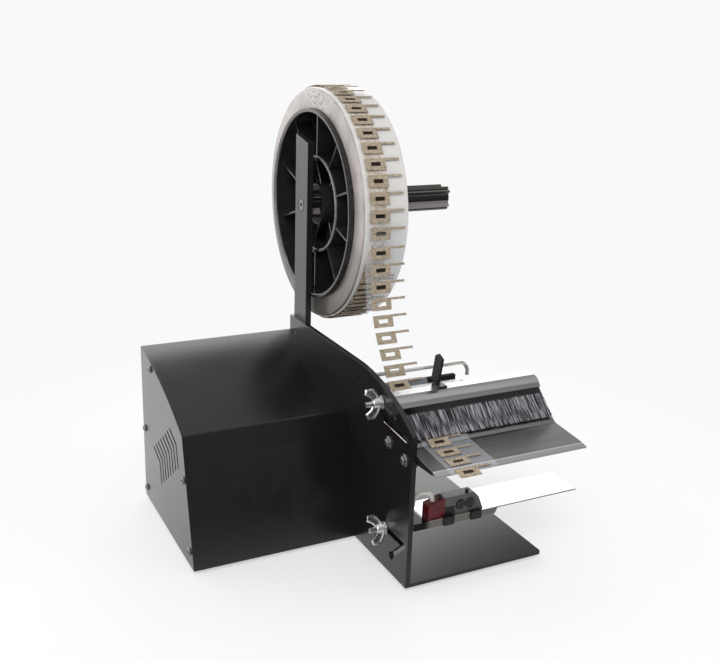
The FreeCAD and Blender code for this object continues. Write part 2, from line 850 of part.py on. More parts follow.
def spindle_bushes():
    x0 = shaft_left()
    x1 = PLATE_THICK + ARM_THICK + SPINDLE_LONG - SHAFT_GAP
    outer = SPINDLE_R + BUSH_WALL
    inner = SPINDLE_R + RUNNING_FIT
    ends = [(x0, x0 + BUSH_LONG), (x1 - BUSH_LONG, x1)]
    return group(tube_x(REEL_Y, REEL_Z, inner, outer, a, b) for a, b in ends)


def reel_hub():
    """Moulded reel: drum, web disc, vanes, recessed ring and a boss that fits the shaft."""
    drum_r = ROLL_INNER_R - SEAT_FIT
    drum = tube_x(REEL_Y, REEL_Z, drum_r - HUB_WALL, drum_r, HUB_LEFT_X, HUB_RIGHT_X)
    disc = bar_x(REEL_Y, REEL_Z, drum_r - HUB_WALL / 2, HUB_WEB_X, HUB_WEB_X + HUB_WEB_THICK)
    ring = tube_x(REEL_Y, REEL_Z, HUB_RING_R - HUB_WALL, HUB_RING_R, HUB_RING_LEFT_X, HUB_RIGHT_X)
    boss = bar_x(REEL_Y, REEL_Z, HUB_BOSS_R, HUB_RING_LEFT_X, HUB_RIGHT_X)
    vanes = []
    for i in range(VANE_COUNT):
        vane = box(
            HUB_RING_LEFT_X, HUB_WEB_X,
            REEL_Y + HUB_RING_R - HUB_WALL / 2, REEL_Y + drum_r - HUB_WALL / 2,
            REEL_Z - VANE_THICK / 2, REEL_Z + VANE_THICK / 2,
        )
        vanes.append(reel_turned(vane, (i + 1 / 2) * FULL_TURN / VANE_COUNT))
    for i in range(INNER_VANE_COUNT):
        vane = box(
            HUB_WEB_X - INNER_VANE_DEEP, HUB_WEB_X,
            REEL_Y + HUB_BOSS_R - HUB_WALL / 2, REEL_Y + HUB_RING_R - HUB_WALL / 2,
            REEL_Z - VANE_THICK / 2, REEL_Z + VANE_THICK / 2,
        )
        vanes.append(reel_turned(vane, i * FULL_TURN / INNER_VANE_COUNT))
    hub = drum.fuse([disc, ring, boss] + vanes)
    hub = hub.cut(shaft_outline_solid(SEAT_FIT, HUB_LEFT_X - CUT, HUB_RIGHT_X + CUT))
    return hub.removeSplitter()


def label_roll():
    x1 = ROLL_LEFT_X + WEB_WIDE
    return tube_x(REEL_Y, REEL_Z, ROLL_INNER_R, ROLL_OUTER_R - LABEL_THICK, ROLL_LEFT_X, x1)


def label():
    """One flat die-cut label: frame with a hole, and a tail along its upper edge."""
    x0 = ROLL_LEFT_X + LABEL_MARGIN
    x1 = x0 + LABEL_WIDE
    half = LABEL_TALL / 2
    frame = box(x0, x1, -half, half, 0, LABEL_THICK)
    frame = frame.fuse(box(x1, x1 + LABEL_TAIL_LONG, half - LABEL_TAIL_TALL, half, 0, LABEL_THICK))
    side = (LABEL_WIDE - LABEL_HOLE_WIDE) / 2
    hole_half = LABEL_HOLE_TALL / 2
    hole = box(x0 + side, x1 - side, -hole_half, hole_half, -CUT, LABEL_THICK + CUT)
    return frame.cut(hole).removeSplitter()


def placed_label(template, spot, upstream):
    """The label flat on a surface at (y, z), its tail edge towards the reel."""
    copy = template.copy()
    copy.rotate(V(0, 0, 0), X_AXIS, math.degrees(math.atan2(upstream[1], upstream[0])))
    copy.translate(V(0, *spot))
    return copy


def roll_labels():
    template = label()
    film_r = ROLL_OUTER_R - LABEL_THICK
    labels = []
    for i in range(LABELS_ROUND):
        angle = 2 * math.pi * (i + 1 / 2) / LABELS_ROUND
        out = (math.cos(angle), math.sin(angle))
        spot = (REEL_Y + film_r * out[0], REEL_Z + film_r * out[1])
        labels.append(placed_label(template, spot, (out[1], -out[0])))
    return group(labels)


def smooth(points, steps):
    """Points of a smooth curve through a few (y, z) points."""
    curve = Part.BSplineCurve()
    curve.interpolate([V(0, y, z) for y, z in points])
    return [(p.y, p.z) for p in curve.discretize(Number=steps)]


def peel_line():
    return [PEEL_REAR, PEEL_BEND, PEEL_LOW, PEEL_STRIP, PEEL_NOSE]


def film_to_nose():
    """Inner side of the film from the reel to the nose of the peel plate."""
    start = (REEL_Y - ROLL_OUTER_R - AIR, REEL_Z)
    on_plate = shifted(peel_line(), -FILM_LIFT)
    landing = (TABLE_REAR - (TABLE_REAR - TABLE_FRONT) / 2, TABLE_TOP + FILM_LIFT * 2)
    free = []
    for share in FILM_FREE_SHARES:
        free.append(tuple(landing[k] + (start[k] - landing[k]) * share[k] for k in (0, 1)))
    return smooth([start] + free + [landing], FILM_STEPS) + on_plate


def film_return():
    """Inner side of the film from the nose, under the plate, over the drive roller and out."""
    strip_dir, side = unit(PEEL_STRIP, PEEL_NOSE)
    tip = (
        PEEL_NOSE[0] + strip_dir[0] * FILM_LIFT + side[0] * (PEEL_THICK + FILM_LIFT),
        PEEL_NOSE[1] + strip_dir[1] * FILM_LIFT + side[1] * (PEEL_THICK + FILM_LIFT),
    )
    radius = SLEEVE_R + AIR + FILM_THICK
    span = (DRIVE_Y - tip[0], DRIVE_Z - tip[1])
    reach = math.hypot(*span)
    start = math.atan2(-span[1], -span[0]) - math.acos(radius / reach)
    start %= 2 * math.pi
    end = math.radians(PINCH_ANGLE)
    wrap = []
    for i in range(WRAP_STEPS + 1):
        angle = start + (end - start) * i / WRAP_STEPS
        wrap.append((DRIVE_Y + radius * math.cos(angle), DRIVE_Z + radius * math.sin(angle)))
    last = wrap[-1]
    out = (last[0] + FILM_TAIL_LONG * math.sin(end), last[1] - FILM_TAIL_LONG * math.cos(end))
    return [tip] + wrap + [out]


def liner_web():
    line = film_to_nose()
    nose_dir = unit(PEEL_STRIP, PEEL_NOSE)[0]
    line[-1] = (line[-1][0] + nose_dir[0] * FILM_LIFT, line[-1][1] + nose_dir[1] * FILM_LIFT)
    return strip(line + film_return(), -FILM_THICK, ROLL_LEFT_X, ROLL_LEFT_X + WEB_WIDE)


def point_at(line, lengths, distance):
    """The point of an open line at a distance along it."""
    i = max(k for k, length in enumerate(lengths[:-1]) if length <= distance)
    part = (distance - lengths[i]) / (lengths[i + 1] - lengths[i])
    return tuple(line[i][k] + (line[i + 1][k] - line[i][k]) * part for k in (0, 1))


def web_labels():
    """Labels one pitch apart along the film; the last one already stands past the nose."""
    line = shifted(film_to_nose(), -FILM_THICK - LABEL_LIFT)
    ahead = unit(line[-2], line[-1])[0]
    line.append((line[-1][0] + ahead[0] * LABEL_TALL, line[-1][1] + ahead[1] * LABEL_TALL))
    lengths = [0]
    for a, b in zip(line, line[1:]):
        lengths.append(lengths[-1] + math.hypot(b[0] - a[0], b[1] - a[1]))
    template = label()
    labels = []
    at = lengths[-2] + LABEL_PAST_NOSE - LABEL_TALL / 2
    while at > LABEL_TALL:
        low = point_at(line, lengths, at + LABEL_TALL / 2 + LABEL_THICK)
        high = point_at(line, lengths, at - LABEL_TALL / 2 - LABEL_THICK)
        upstream, out = unit(low, high)
        between = [q for q, s in zip(line, lengths) if abs(s - at) < LABEL_TALL / 2]
        rises = [(q[0] - low[0]) * out[0] + (q[1] - low[1]) * out[1] for q in between]
        lift = max([0] + rises)
        spot = tuple((low[k] + high[k]) / 2 + out[k] * lift for k in (0, 1))
        labels.append(placed_label(template, spot, upstream))
        at -= LABEL_PITCH
    return group(labels)


def peel_plate():
    x0 = PLATE_THICK
    plate = strip(peel_line(), PEEL_THICK, x0, PEEL_RIGHT_X)
    under = shifted(peel_line(), PEEL_THICK)
    inner = (CHEEK_LOW[-1][0], under[1][1] + (CHEEK_LOW[-1][0] - under[1][0]) * peel_rise())
    outline = [inner, under[1], under[2], under[3]] + CHEEK_LOW
    cheek = prism_x(outline, x0, x0 + CHEEK_THICK)
    plate = plate.fuse(cheek).removeSplitter()
    for spot in PEEL_SCREW_SPOTS:
        plate = plate.cut(bar_x(*spot, M5_R + SEAT_FIT, x0 - CUT, x0 + CHEEK_THICK + CUT))
    return plate


def peel_rise():
    return (PEEL_REAR[1] - PEEL_BEND[1]) / (PEEL_REAR[0] - PEEL_BEND[0])


def peel_plate_screws():
    deep = RING_THICK + PLATE_THICK + CHEEK_THICK
    return [button_screw(*spot, -RING_THICK, -1, M5_R, deep) for spot in PEEL_SCREW_SPOTS]


def plate_washers():
    rings = [tube_x(*spot, M5_R + SEAT_FIT, RING_R, -RING_THICK, 0) for spot in PEEL_SCREW_SPOTS]
    return group(rings + [clamp_washer(STUD_Y, STUD_Z)])


def table_screws():
    y = (TABLE_REAR + TABLE_EAR_REAR) / 2
    step = (TABLE_EAR_HIGH - TABLE_EAR_LOW) / 4
    return [(y, TABLE_EAR_LOW + step), (y, TABLE_EAR_HIGH - step)]


def entry_table():
    x0 = PLATE_THICK
    table = box(x0, TABLE_RIGHT_X, TABLE_FRONT, TABLE_REAR, TABLE_TOP - TABLE_TALL, TABLE_TOP)
    ear = box(
        x0, x0 + TABLE_EAR_THICK, TABLE_REAR, TABLE_EAR_REAR, TABLE_EAR_LOW, TABLE_EAR_HIGH
    )
    table = table.fuse(ear).removeSplitter()
    for spot in table_screws():
        table = table.cut(bar_x(*spot, M3_R + SEAT_FIT, x0 - CUT, x0 + TABLE_EAR_THICK + CUT))
    return table


def entry_table_screws():
    face = PLATE_THICK + TABLE_EAR_THICK
    screws = []
    for spot in table_screws():
        head = bar_x(*spot, M3_HEAD_R, face, face + M3_HEAD_TALL)
        screws.append(head.fuse(bar_x(*spot, M3_R, CUT, face)).removeSplitter())
    return screws


def small_screws():
    """Screws of the entry table, of the base's edge, and the set screw by the brush stud."""
    return group(entry_table_screws() + base_screws() + [bar_x(*SMALL_SCREW_SPOT, M3_R, 0, PLATE_THICK)])


def entry_strip():
    x1 = TABLE_RIGHT_X - FELT_SHORT
    return box(PLATE_THICK, x1, TABLE_REAR - FELT_WIDE, TABLE_REAR, TABLE_TOP, TABLE_TOP + FELT_THICK)


def guide_rod():
    """Round rod across the web path, its free end bent down."""
    bend_x = ROD_END_X - ROD_BEND_R
    turn = math.pi / 4
    low = ROD_Z - ROD_BEND_R
    edges = [
        Part.LineSegment(V(0, ROD_Y, ROD_Z), V(bend_x, ROD_Y, ROD_Z)).toShape(),
        Part.Arc(
            V(bend_x, ROD_Y, ROD_Z),
            V(bend_x + ROD_BEND_R * math.sin(turn), ROD_Y, low + ROD_BEND_R * math.cos(turn)),
            V(ROD_END_X, ROD_Y, low),
        ).toShape(),
        Part.LineSegment(V(ROD_END_X, ROD_Y, low), V(ROD_END_X, ROD_Y, low - ROD_DROP)).toShape(),
    ]
    return tube_along(Part.Wire(edges), ROD_R)


def tube_along(wire, radius):
    start = wire.Edges[0]
    tangent = start.tangentAt(start.FirstParameter)
    section = Part.Wire(Part.makeCircle(radius, start.valueAt(start.FirstParameter), tangent))
    return wire.makePipeShell([section], True, False)


def brush_holder():
    holder = prism_x(HOLDER_PROFILE, HOLDER_LEFT_X, HOLDER_RIGHT_X)
    x1 = HOLDER_LEFT_X + STUD_IN_HOLDER
    port = bar_x(STUD_Y, STUD_Z, STUD_R + SEAT_FIT, HOLDER_LEFT_X - CUT, x1 + CUT)
    return holder.cut(port)


def brush_bristles():
    outline = [HOLDER_PROFILE[0], BRISTLE_TIP_FRONT, BRISTLE_TIP_REAR, HOLDER_PROFILE[-1]]
    return prism_x(outline, HOLDER_LEFT_X + BRISTLE_END_GAP, HOLDER_RIGHT_X - BRISTLE_END_GAP)


def brush_stud():
    return bar_x(STUD_Y, STUD_Z, STUD_R, -STUD_OUT_LEFT, HOLDER_LEFT_X + STUD_IN_HOLDER)


def clamp_washer(y, z):
    return tube_x(y, z, WASHER_BORE_R, WASHER_R, -WASHER_THICK, 0)


def wing_nut(y, z, lean):
    """Wing nut on a stud, its wings leaning by an angle from upright."""
    x1 = -WASHER_THICK
    x0 = x1 - NUT_HUB_LONG
    hub = cone_x(y, z, NUT_HUB_R * NUT_TIP_SHARE, NUT_HUB_R, x0, x1)
    half = WING_SPAN / 2
    outline = [
        (x1 - WING_THICK, z),
        (x1 - WING_THICK, z + NUT_HUB_R),
        (x0, z + half),
        (x0 - WING_REACH / 2, z + half - WING_THICK),
        (x0 - WING_THICK, z + NUT_HUB_R),
        (x0 + WING_THICK, z),
    ]
    wing = prism_y(outline, y - WING_THICK / 2, y + WING_THICK / 2)
    nut = hub.fuse([wing, turned(wing, y, z, FULL_TURN / 2)])
    nut = nut.cut(bar_x(y, z, STUD_R + RUNNING_FIT, x0 - WING_REACH, x1 + CUT)).removeSplitter()
    return turned(nut, y, z, lean)


def guide_top():
    return max(z for y, z in HOLDER_PROFILE)


def edge_guide():
    """Blade on a foot that slides along the brush holder."""
    back = max(y for y, z in HOLDER_PROFILE)
    top = guide_top()
    half = GUIDE_FOOT_WIDE / 2
    blade = prism_x(GUIDE_BLADE, GUIDE_X - GUIDE_THICK / 2, GUIDE_X + GUIDE_THICK / 2)
    x0 = GUIDE_X - half
    x1 = GUIDE_X + half
    foot = box(x0, x1, GUIDE_FOOT_FRONT, back + GUIDE_LIP_THICK, top, top + GUIDE_FOOT_TALL)
    lip = box(x0, x1, back, back + GUIDE_LIP_THICK, top - GUIDE_LIP_DROP, top)
    guide = blade.fuse([foot, lip])
    low = top - GUIDE_LIP_DROP / 2
    hole = bar_y(GUIDE_X, low, M3_R + SEAT_FIT, back - CUT, back + GUIDE_LIP_THICK + CUT)
    return guide.cut(hole).removeSplitter()


def edge_guide_screw():
    face = max(y for y, z in HOLDER_PROFILE) + GUIDE_LIP_THICK
    z = guide_top() - GUIDE_LIP_DROP / 2
    head = bar_y(GUIDE_X, z, GUIDE_SCREW_R, face, face + GUIDE_SCREW_LONG)
    return head.fuse(bar_y(GUIDE_X, z, M3_R, face - GUIDE_LIP_THICK, face)).removeSplitter()


def edge_guide_set():
    return group([edge_guide(), edge_guide_screw()])


def sensor_bar():
    """Polished bent sheet: shelf, front lip, and a flange that lies on the plate."""
    shelf = box(BAR_LEFT_X, BAR_RIGHT_X, BAR_FRONT, BAR_REAR, BAR_TOP - BAR_THICK, BAR_TOP)
    low = BAR_TOP - LIP_TALL
    lip = prism_y(
        [(BAR_LEFT_X, BAR_TOP), (LIP_RIGHT_X, BAR_TOP), (LIP_RIGHT_X - LIP_SLANT, low), (BAR_LEFT_X, low)],
        BAR_FRONT, BAR_FRONT + BAR_THICK,
    )
    flange = box(BAR_LEFT_X, BAR_LEFT_X + FLANGE_THICK, FLANGE_FRONT, FLANGE_REAR, FLANGE_LOW, BAR_TOP)
    bar = shelf.fuse([lip, flange]).removeSplitter()
    x1 = BAR_LEFT_X + FLANGE_THICK
    return bar.cut(bar_x(BAR_STUD_Y, BAR_STUD_Z, STUD_R + SEAT_FIT, BAR_LEFT_X - CUT, x1 + CUT))


def sensor_stud():
    x1 = BAR_LEFT_X + FLANGE_THICK
    stud = bar_x(BAR_STUD_Y, BAR_STUD_Z, STUD_R, -STUD_OUT_LEFT, x1)
    stud = stud.fuse(bar_x(BAR_STUD_Y, BAR_STUD_Z, SOCKET_R, x1, x1 + SOCKET_TALL)).removeSplitter()
    return group([stud, clamp_washer(BAR_STUD_Y, BAR_STUD_Z)])


def head_rear():
    return HEAD_FRONT + HEAD_DEEP


def dial_cut(x):
    """Recess for a dial, with the hole that its stem turns in."""
    z = BAR_TOP + DIAL_UP
    recess = bar_y(x, z, DIAL_R + AIR, HEAD_FRONT - CUT, HEAD_FRONT + DIAL_DEEP)
    deep = HEAD_FRONT + DIAL_DEEP + DIAL_STEM_DEEP + AIR
    return recess.fuse(bar_y(x, z, DIAL_STEM_R + RUNNING_FIT, HEAD_FRONT, deep))


def sensor_head():
    """Sensor body with its slanted end."""
    top = BAR_TOP + HEAD_TALL
    outline = [
        (BLOCK_RIGHT_X, BAR_TOP),
        (HEAD_RIGHT_X, BAR_TOP),
        (HEAD_RIGHT_X - HEAD_SHOULDER[0], BAR_TOP + HEAD_SHOULDER[1]),
        (HEAD_RIGHT_X - HEAD_SLANT, top),
        (HEAD_LEFT_X, top),
        (HEAD_LEFT_X, BAR_TOP + BLOCK_TALL),
        (BLOCK_RIGHT_X, BAR_TOP + BLOCK_TALL),
    ]
    body = prism_y(outline, HEAD_FRONT, head_rear())
    for x in DIAL_XS:
        body = body.cut(dial_cut(x))
    return body


def sensor_block():
    """Black parts: connector block, adjusting screws, and the clips that hook on the lip."""
    block = box(HEAD_LEFT_X, BLOCK_RIGHT_X, HEAD_FRONT, head_rear(), BAR_TOP, BAR_TOP + BLOCK_TALL)
    return group([block] + sensor_screws() + sensor_clips())


def sensor_cap():
    """Red cap with a sloping top, where the lead goes in."""
    outline = [
        (CAP_LEFT_X, BAR_TOP),
        (HEAD_LEFT_X, BAR_TOP),
        (HEAD_LEFT_X, BAR_TOP + HEAD_TALL),
        (CAP_LEFT_X, BAR_TOP + CAP_LOW_TALL),
    ]
    cap = prism_y(outline, HEAD_FRONT, head_rear())
    x, y, z = LEAD_FRONT_POINTS[-1]
    return cap.cut(bar_z(x, y, LEAD_R + 2 * RUNNING_FIT, z, BAR_TOP + HEAD_TALL + CUT))


def sensor_dials():
    z = BAR_TOP + DIAL_UP
    dials = []
    for x in DIAL_XS:
        disc = bar_y(x, z, DIAL_R, HEAD_FRONT - DIAL_PROUD, HEAD_FRONT + DIAL_DEEP - AIR)
        stem = bar_y(x, z, DIAL_STEM_R, HEAD_FRONT, HEAD_FRONT + DIAL_DEEP + DIAL_STEM_DEEP)
        mark = box(
            x - DIAL_SLOT_WIDE / 2, x + DIAL_SLOT_WIDE / 2,
            HEAD_FRONT - DIAL_PROUD - CUT, HEAD_FRONT - DIAL_PROUD / 2,
            z - DIAL_SLOT_LONG / 2, z + DIAL_SLOT_LONG / 2,
        )
        dials.append(disc.fuse(stem).removeSplitter().cut(mark))
    return dials


def sensor_screws():
    top = BAR_TOP + HEAD_TALL
    low = BAR_TOP + CAP_LOW_TALL
    in_cap = bar_z(TRIM_XS[0], TRIM_Y, TRIM_R, low, top + TRIM_TALL).cut(sensor_cap())
    return [in_cap, bar_z(TRIM_XS[1], TRIM_Y, TRIM_R, top, top + TRIM_TALL)]


def sensor_clips():
    clips = []
    for x in CLIP_XS:
        half = CLIP_WIDE / 2
        y0 = BAR_FRONT - CLIP_THICK
        hook = box(x - half, x + half, y0, BAR_FRONT, BAR_TOP - CLIP_TALL, BAR_TOP + CLIP_RISE)
        bridge = box(x - half, x + half, y0, HEAD_FRONT, BAR_TOP, BAR_TOP + CLIP_RISE)
        clips.append(hook.fuse(bridge).removeSplitter())
    return clips


def route(points):
    """Straight runs joined by tangent arcs through a cord's chosen points, and the arcs' radii."""
    spots = [V(*point) for point in points]
    edges = []
    radii = []
    start = spots[0]
    for i in range(1, len(spots) - 1):
        into = spots[i] - spots[i - 1]
        away = spots[i + 1] - spots[i]
        shorter = min(into.Length, away.Length)
        into.normalize()
        away.normalize()
        turn = into.getAngle(away)
        back = RUN_SHARE * shorter
        radius = back / math.tan(turn / 2)
        first = spots[i] - into * back
        last = spots[i] + away * back
        inward = (away - into).normalize()
        centre = spots[i] + inward * (radius / math.cos(turn / 2))
        middle = centre - inward * radius
        edges.append(Part.LineSegment(start, first).toShape())
        edges.append(Part.Arc(first, middle, last).toShape())
        radii.append(radius)
        start = last
    edges.append(Part.LineSegment(start, spots[-1]).toShape())
    return Part.Wire(edges), radii


def lead(name, points):
    wire, radii = route(points)
    cord = tube_along(wire, LEAD_R)
    expected = math.pi * LEAD_R ** 2 * wire.Length
    print(name, "arc radii", [round(r, 1) for r in radii], "volume share", round(cord.Volume / expected, 4))
    return cord


def lead_grommet():
    x0 = -GROMMET_FLANGE
    x1 = PLATE_THICK
    body = bar_x(*LEAD_EXIT, GROMMET_R, x0, x1 + GROMMET_FLANGE)
    body = body.fuse(bar_x(*LEAD_EXIT, GROMMET_FLANGE_R, x0, 0))
    body = body.fuse(bar_x(*LEAD_EXIT, GROMMET_FLANGE_R, x1, x1 + GROMMET_FLANGE))
    bore = bar_x(*LEAD_EXIT, LEAD_R + SEAT_FIT, x0 - CUT, x1 + GROMMET_FLANGE + CUT)
    return body.cut(bore).removeSplitter()


def lead_clip():
    """Saddle on the shelf that holds the lead."""
    x, y, z = LEAD_FRONT_POINTS[0]
    half = LEAD_R + CLIP_THICK
    saddle = box(x - half, x + half, y, y + CLIP_WIDE, BAR_TOP, z + half)
    return saddle.cut(bar_y(x, z, LEAD_R + SEAT_FIT, y - CUT, y + CLIP_WIDE + CUT))


def drive_shaft():
    return bar_x(DRIVE_Y, DRIVE_Z, DRIVE_SHAFT_R, -POST_LONG - BRACKET_THICK, SLEEVE_RIGHT_X)


def drive_sleeve():
    return tube_x(DRIVE_Y, DRIVE_Z, DRIVE_SHAFT_R + SEAT_FIT, SLEEVE_R, SLEEVE_LEFT_X, SLEEVE_RIGHT_X)


def drive_bearings():
    """Flanged bearings in the centre plate and in the motor bracket."""
    pairs = [(0, PLATE_THICK, PLATE_THICK), (-POST_LONG - BRACKET_THICK, -POST_LONG, -POST_LONG)]
    bearings = []
    for x0, x1, face in pairs:
        body = bar_x(DRIVE_Y, DRIVE_Z, BEARING_R, x0, x1)
        body = body.fuse(bar_x(DRIVE_Y, DRIVE_Z, BEARING_FLANGE_R, face, face + BEARING_FLANGE))
        bore = bar_x(DRIVE_Y, DRIVE_Z, DRIVE_SHAFT_R + RUNNING_FIT, x0 - CUT, x1 + BEARING_FLANGE + CUT)
        bearings.append(body.cut(bore).removeSplitter())
    return group(bearings)


def pinch_spot():
    reach = SLEEVE_R + FILM_THICK + 2 * AIR + PINCH_R
    angle = math.radians(PINCH_ANGLE)
    return (DRIVE_Y + reach * math.cos(angle), DRIVE_Z + reach * math.sin(angle))


def pivot_spot():
    spot = pinch_spot()
    return (spot[0] + PIVOT_BACK, spot[1])


def pinch_roller():
    x0 = SLEEVE_LEFT_X + LINK_THICK
    x1 = SLEEVE_RIGHT_X - LINK_THICK
    return tube_x(*pinch_spot(), PINCH_SHAFT_R + RUNNING_FIT, PINCH_R, x0, x1)


def pivot_shaft():
    return bar_x(*pivot_spot(), PIVOT_R, 0, SLEEVE_RIGHT_X + LINK_THICK)


def pinch_arm():
    """Two links on a tube that swings on the pivot shaft, with a lifting handle."""
    pivot = pivot_spot()
    spot = pinch_spot()
    links = []
    for x0 in (SLEEVE_LEFT_X - SHAFT_GAP, SLEEVE_RIGHT_X - LINK_THICK + SHAFT_GAP):
        links.append(slot(spot, pivot, LINK_HALF * 2, x0, x0 + LINK_THICK))
    x0 = SLEEVE_LEFT_X - SHAFT_GAP
    x1 = SLEEVE_RIGHT_X + SHAFT_GAP
    tube = bar_x(*pivot, PIVOT_TUBE_R, x0, x1)
    handle = box(
        x1 - HANDLE_WIDE, x1, pivot[0], pivot[0] + HANDLE_LONG,
        pivot[1] + PIVOT_R + RUNNING_FIT, pivot[1] + PIVOT_TUBE_R,
    )
    arm = tube.fuse(links + [handle])
    arm = arm.cut(bar_x(*pivot, PIVOT_R + RUNNING_FIT, x0 - CUT, x1 + CUT))
    arm = arm.cut(bar_x(*spot, PINCH_SHAFT_R + SEAT_FIT, x0 - CUT, x1 + CUT)).removeSplitter()
    return group([arm, bar_x(*spot, PINCH_SHAFT_R, x0, x1)])


def pulley(y, z, radius, shaft_r):
    """Flat pulley with a flange on each side of the belt."""
    x0 = PULLEY_LEFT_X
    x1 = x0 + BELT_WIDE + 2 * AIR
    body = bar_x(y, z, radius, x0, x1)
    rim = radius + BELT_THICK + FLANGE_RISE
    body = body.fuse(bar_x(y, z, rim, x0 - PULLEY_FLANGE, x0))
    body = body.fuse(bar_x(y, z, rim, x1, x1 + PULLEY_FLANGE))
    beyond = PULLEY_FLANGE + CUT
    return body.cut(bar_x(y, z, shaft_r + SEAT_FIT, x0 - beyond, x1 + beyond)).removeSplitter()


def belt_loop(grow):
    """Solid round both pulleys, grown outwards; two discs joined by their common tangents."""
    x0 = PULLEY_LEFT_X + AIR
    x1 = x0 + BELT_WIDE
    big = DRIVE_PULLEY_R + grow
    small = MOTOR_PULLEY_R + grow
    along, side = unit((DRIVE_Y, DRIVE_Z), (MOTOR_Y, MOTOR_Z))
    reach = math.hypot(MOTOR_Y - DRIVE_Y, MOTOR_Z - DRIVE_Z)
    lean = math.asin((big - small) / reach)
    corners = []
    for centre, radius, turn in (
        ((DRIVE_Y, DRIVE_Z), big, 1), ((MOTOR_Y, MOTOR_Z), small, 1),
        ((MOTOR_Y, MOTOR_Z), small, -1), ((DRIVE_Y, DRIVE_Z), big, -1),
    ):
        out = [along[k] * math.sin(lean) + turn * side[k] * math.cos(lean) for k in (0, 1)]
        corners.append((centre[0] + out[0] * radius, centre[1] + out[1] * radius))
    loop = prism_x(corners, x0, x1)
    return loop.fuse([bar_x(DRIVE_Y, DRIVE_Z, big, x0, x1), bar_x(MOTOR_Y, MOTOR_Z, small, x0, x1)])


def drive_belt():
    return belt_loop(AIR + BELT_THICK).cut(belt_loop(AIR)).removeSplitter()


def bracket_posts():
    rise = POST_RISE
    rear = MOTOR_Y + GEARBOX_R
    front = DRIVE_Y - BEARING_FLANGE_R
    return [(y, MOTOR_Z + sign * rise) for y in (front, rear) for sign in (-1, 1)]


def motor_bracket():
    posts = bracket_posts()
    x0 = -POST_LONG - BRACKET_THICK
    x1 = -POST_LONG
    plate = box(
        x0, x1, posts[0][0] - BRACKET_MARGIN, posts[-1][0] + BRACKET_MARGIN,
        posts[0][1] - BRACKET_MARGIN, posts[-1][1] + BRACKET_MARGIN,
    )
    plate = plate.cut(bar_x(DRIVE_Y, DRIVE_Z, BEARING_R + SEAT_FIT, x0 - CUT, x1 + CUT))
    plate = plate.cut(bar_x(MOTOR_Y, MOTOR_Z, MOTOR_SHAFT_R * 2, x0 - CUT, x1 + CUT))
    for spot in posts:
        plate = plate.cut(bar_x(*spot, M5_R + SEAT_FIT, x0 - CUT, x1 + CUT))
    return plate


def bracket_post_bars():
    posts = []
    for spot in bracket_posts():
        post = bar_x(*spot, POST_R, -POST_LONG, 0)
        post = post.cut(bar_x(*spot, M5_R + SEAT_FIT, -POST_LONG - CUT, CUT))
        posts.append(post)
    return posts


def bracket_screws():
    x0 = -POST_LONG - BRACKET_THICK
    deep = BRACKET_THICK + M5_DEEP
    left = [button_screw(*spot, x0, -1, M5_R, deep) for spot in bracket_posts()]
    deep = PLATE_THICK + M5_DEEP
    right = [button_screw(*spot, PLATE_THICK, 1, M5_R, deep) for spot in bracket_posts()]
    return left + right


def gear_motor():
    x0 = -POST_LONG - BRACKET_THICK
    gearbox = bar_x(MOTOR_Y, MOTOR_Z, GEARBOX_R, x0 - GEARBOX_LONG, x0)
    can = bar_x(MOTOR_Y, MOTOR_Z, MOTOR_CAN_R, x0 - GEARBOX_LONG - MOTOR_CAN_LONG, x0 - GEARBOX_LONG)
    motor = gearbox.fuse(can)
    bore = bar_x(MOTOR_Y, MOTOR_Z, MOTOR_SHAFT_R + RUNNING_FIT, x0 - M5_DEEP, x0 + CUT)
    return motor.cut(bore).removeSplitter()


def motor_pulley():
    """The motor's shaft with the small pulley on it."""
    x0 = -POST_LONG - BRACKET_THICK
    shaft = bar_x(MOTOR_Y, MOTOR_Z, MOTOR_SHAFT_R, x0 - M5_DEEP, x0 + MOTOR_SHAFT_LONG)
    return group([shaft, pulley(MOTOR_Y, MOTOR_Z, MOTOR_PULLEY_R, MOTOR_SHAFT_R)])


def board_posts():
    spots = [
        (x, y)
        for x in (BOARD_LEFT_X + BOARD_MARGIN, BOARD_RIGHT_X - BOARD_MARGIN)
        for y in (BOARD_FRONT + BOARD_MARGIN, BOARD_REAR - BOARD_MARGIN)
    ]
    return [bar_z(x, y, BOARD_POST_R, SHEET, SHEET + BOARD_POST_TALL) for x, y in spots]


def control_board():
    """Circuit board with its transformer, relay and capacitors."""
    z0 = SHEET + BOARD_POST_TALL
    top = z0 + BOARD_THICK
    board = box(BOARD_LEFT_X, BOARD_RIGHT_X, BOARD_FRONT, BOARD_REAR, z0, top)
    wide, long, tall = TRANSFORMER
    x0 = BOARD_LEFT_X + BOARD_MARGIN * 2
    y0 = BOARD_FRONT + BOARD_MARGIN * 2
    items = [box(x0, x0 + wide, y0, y0 + long, top, top + tall)]
    x1 = x0 + wide + BOARD_MARGIN
    items.append(box(x1, x1 + RELAY[0], y0, y0 + RELAY[1], top, top + RELAY[2]))
    for i in range(3):
        y = BOARD_REAR - CAPACITOR_INSET - i * CAPACITOR_PITCH
        items.append(bar_z(x1 + CAPACITOR_R, y, CAPACITOR_R, top, top + CAPACITOR_TALL))
    return group([board.fuse(items).removeSplitter()] + board_posts())


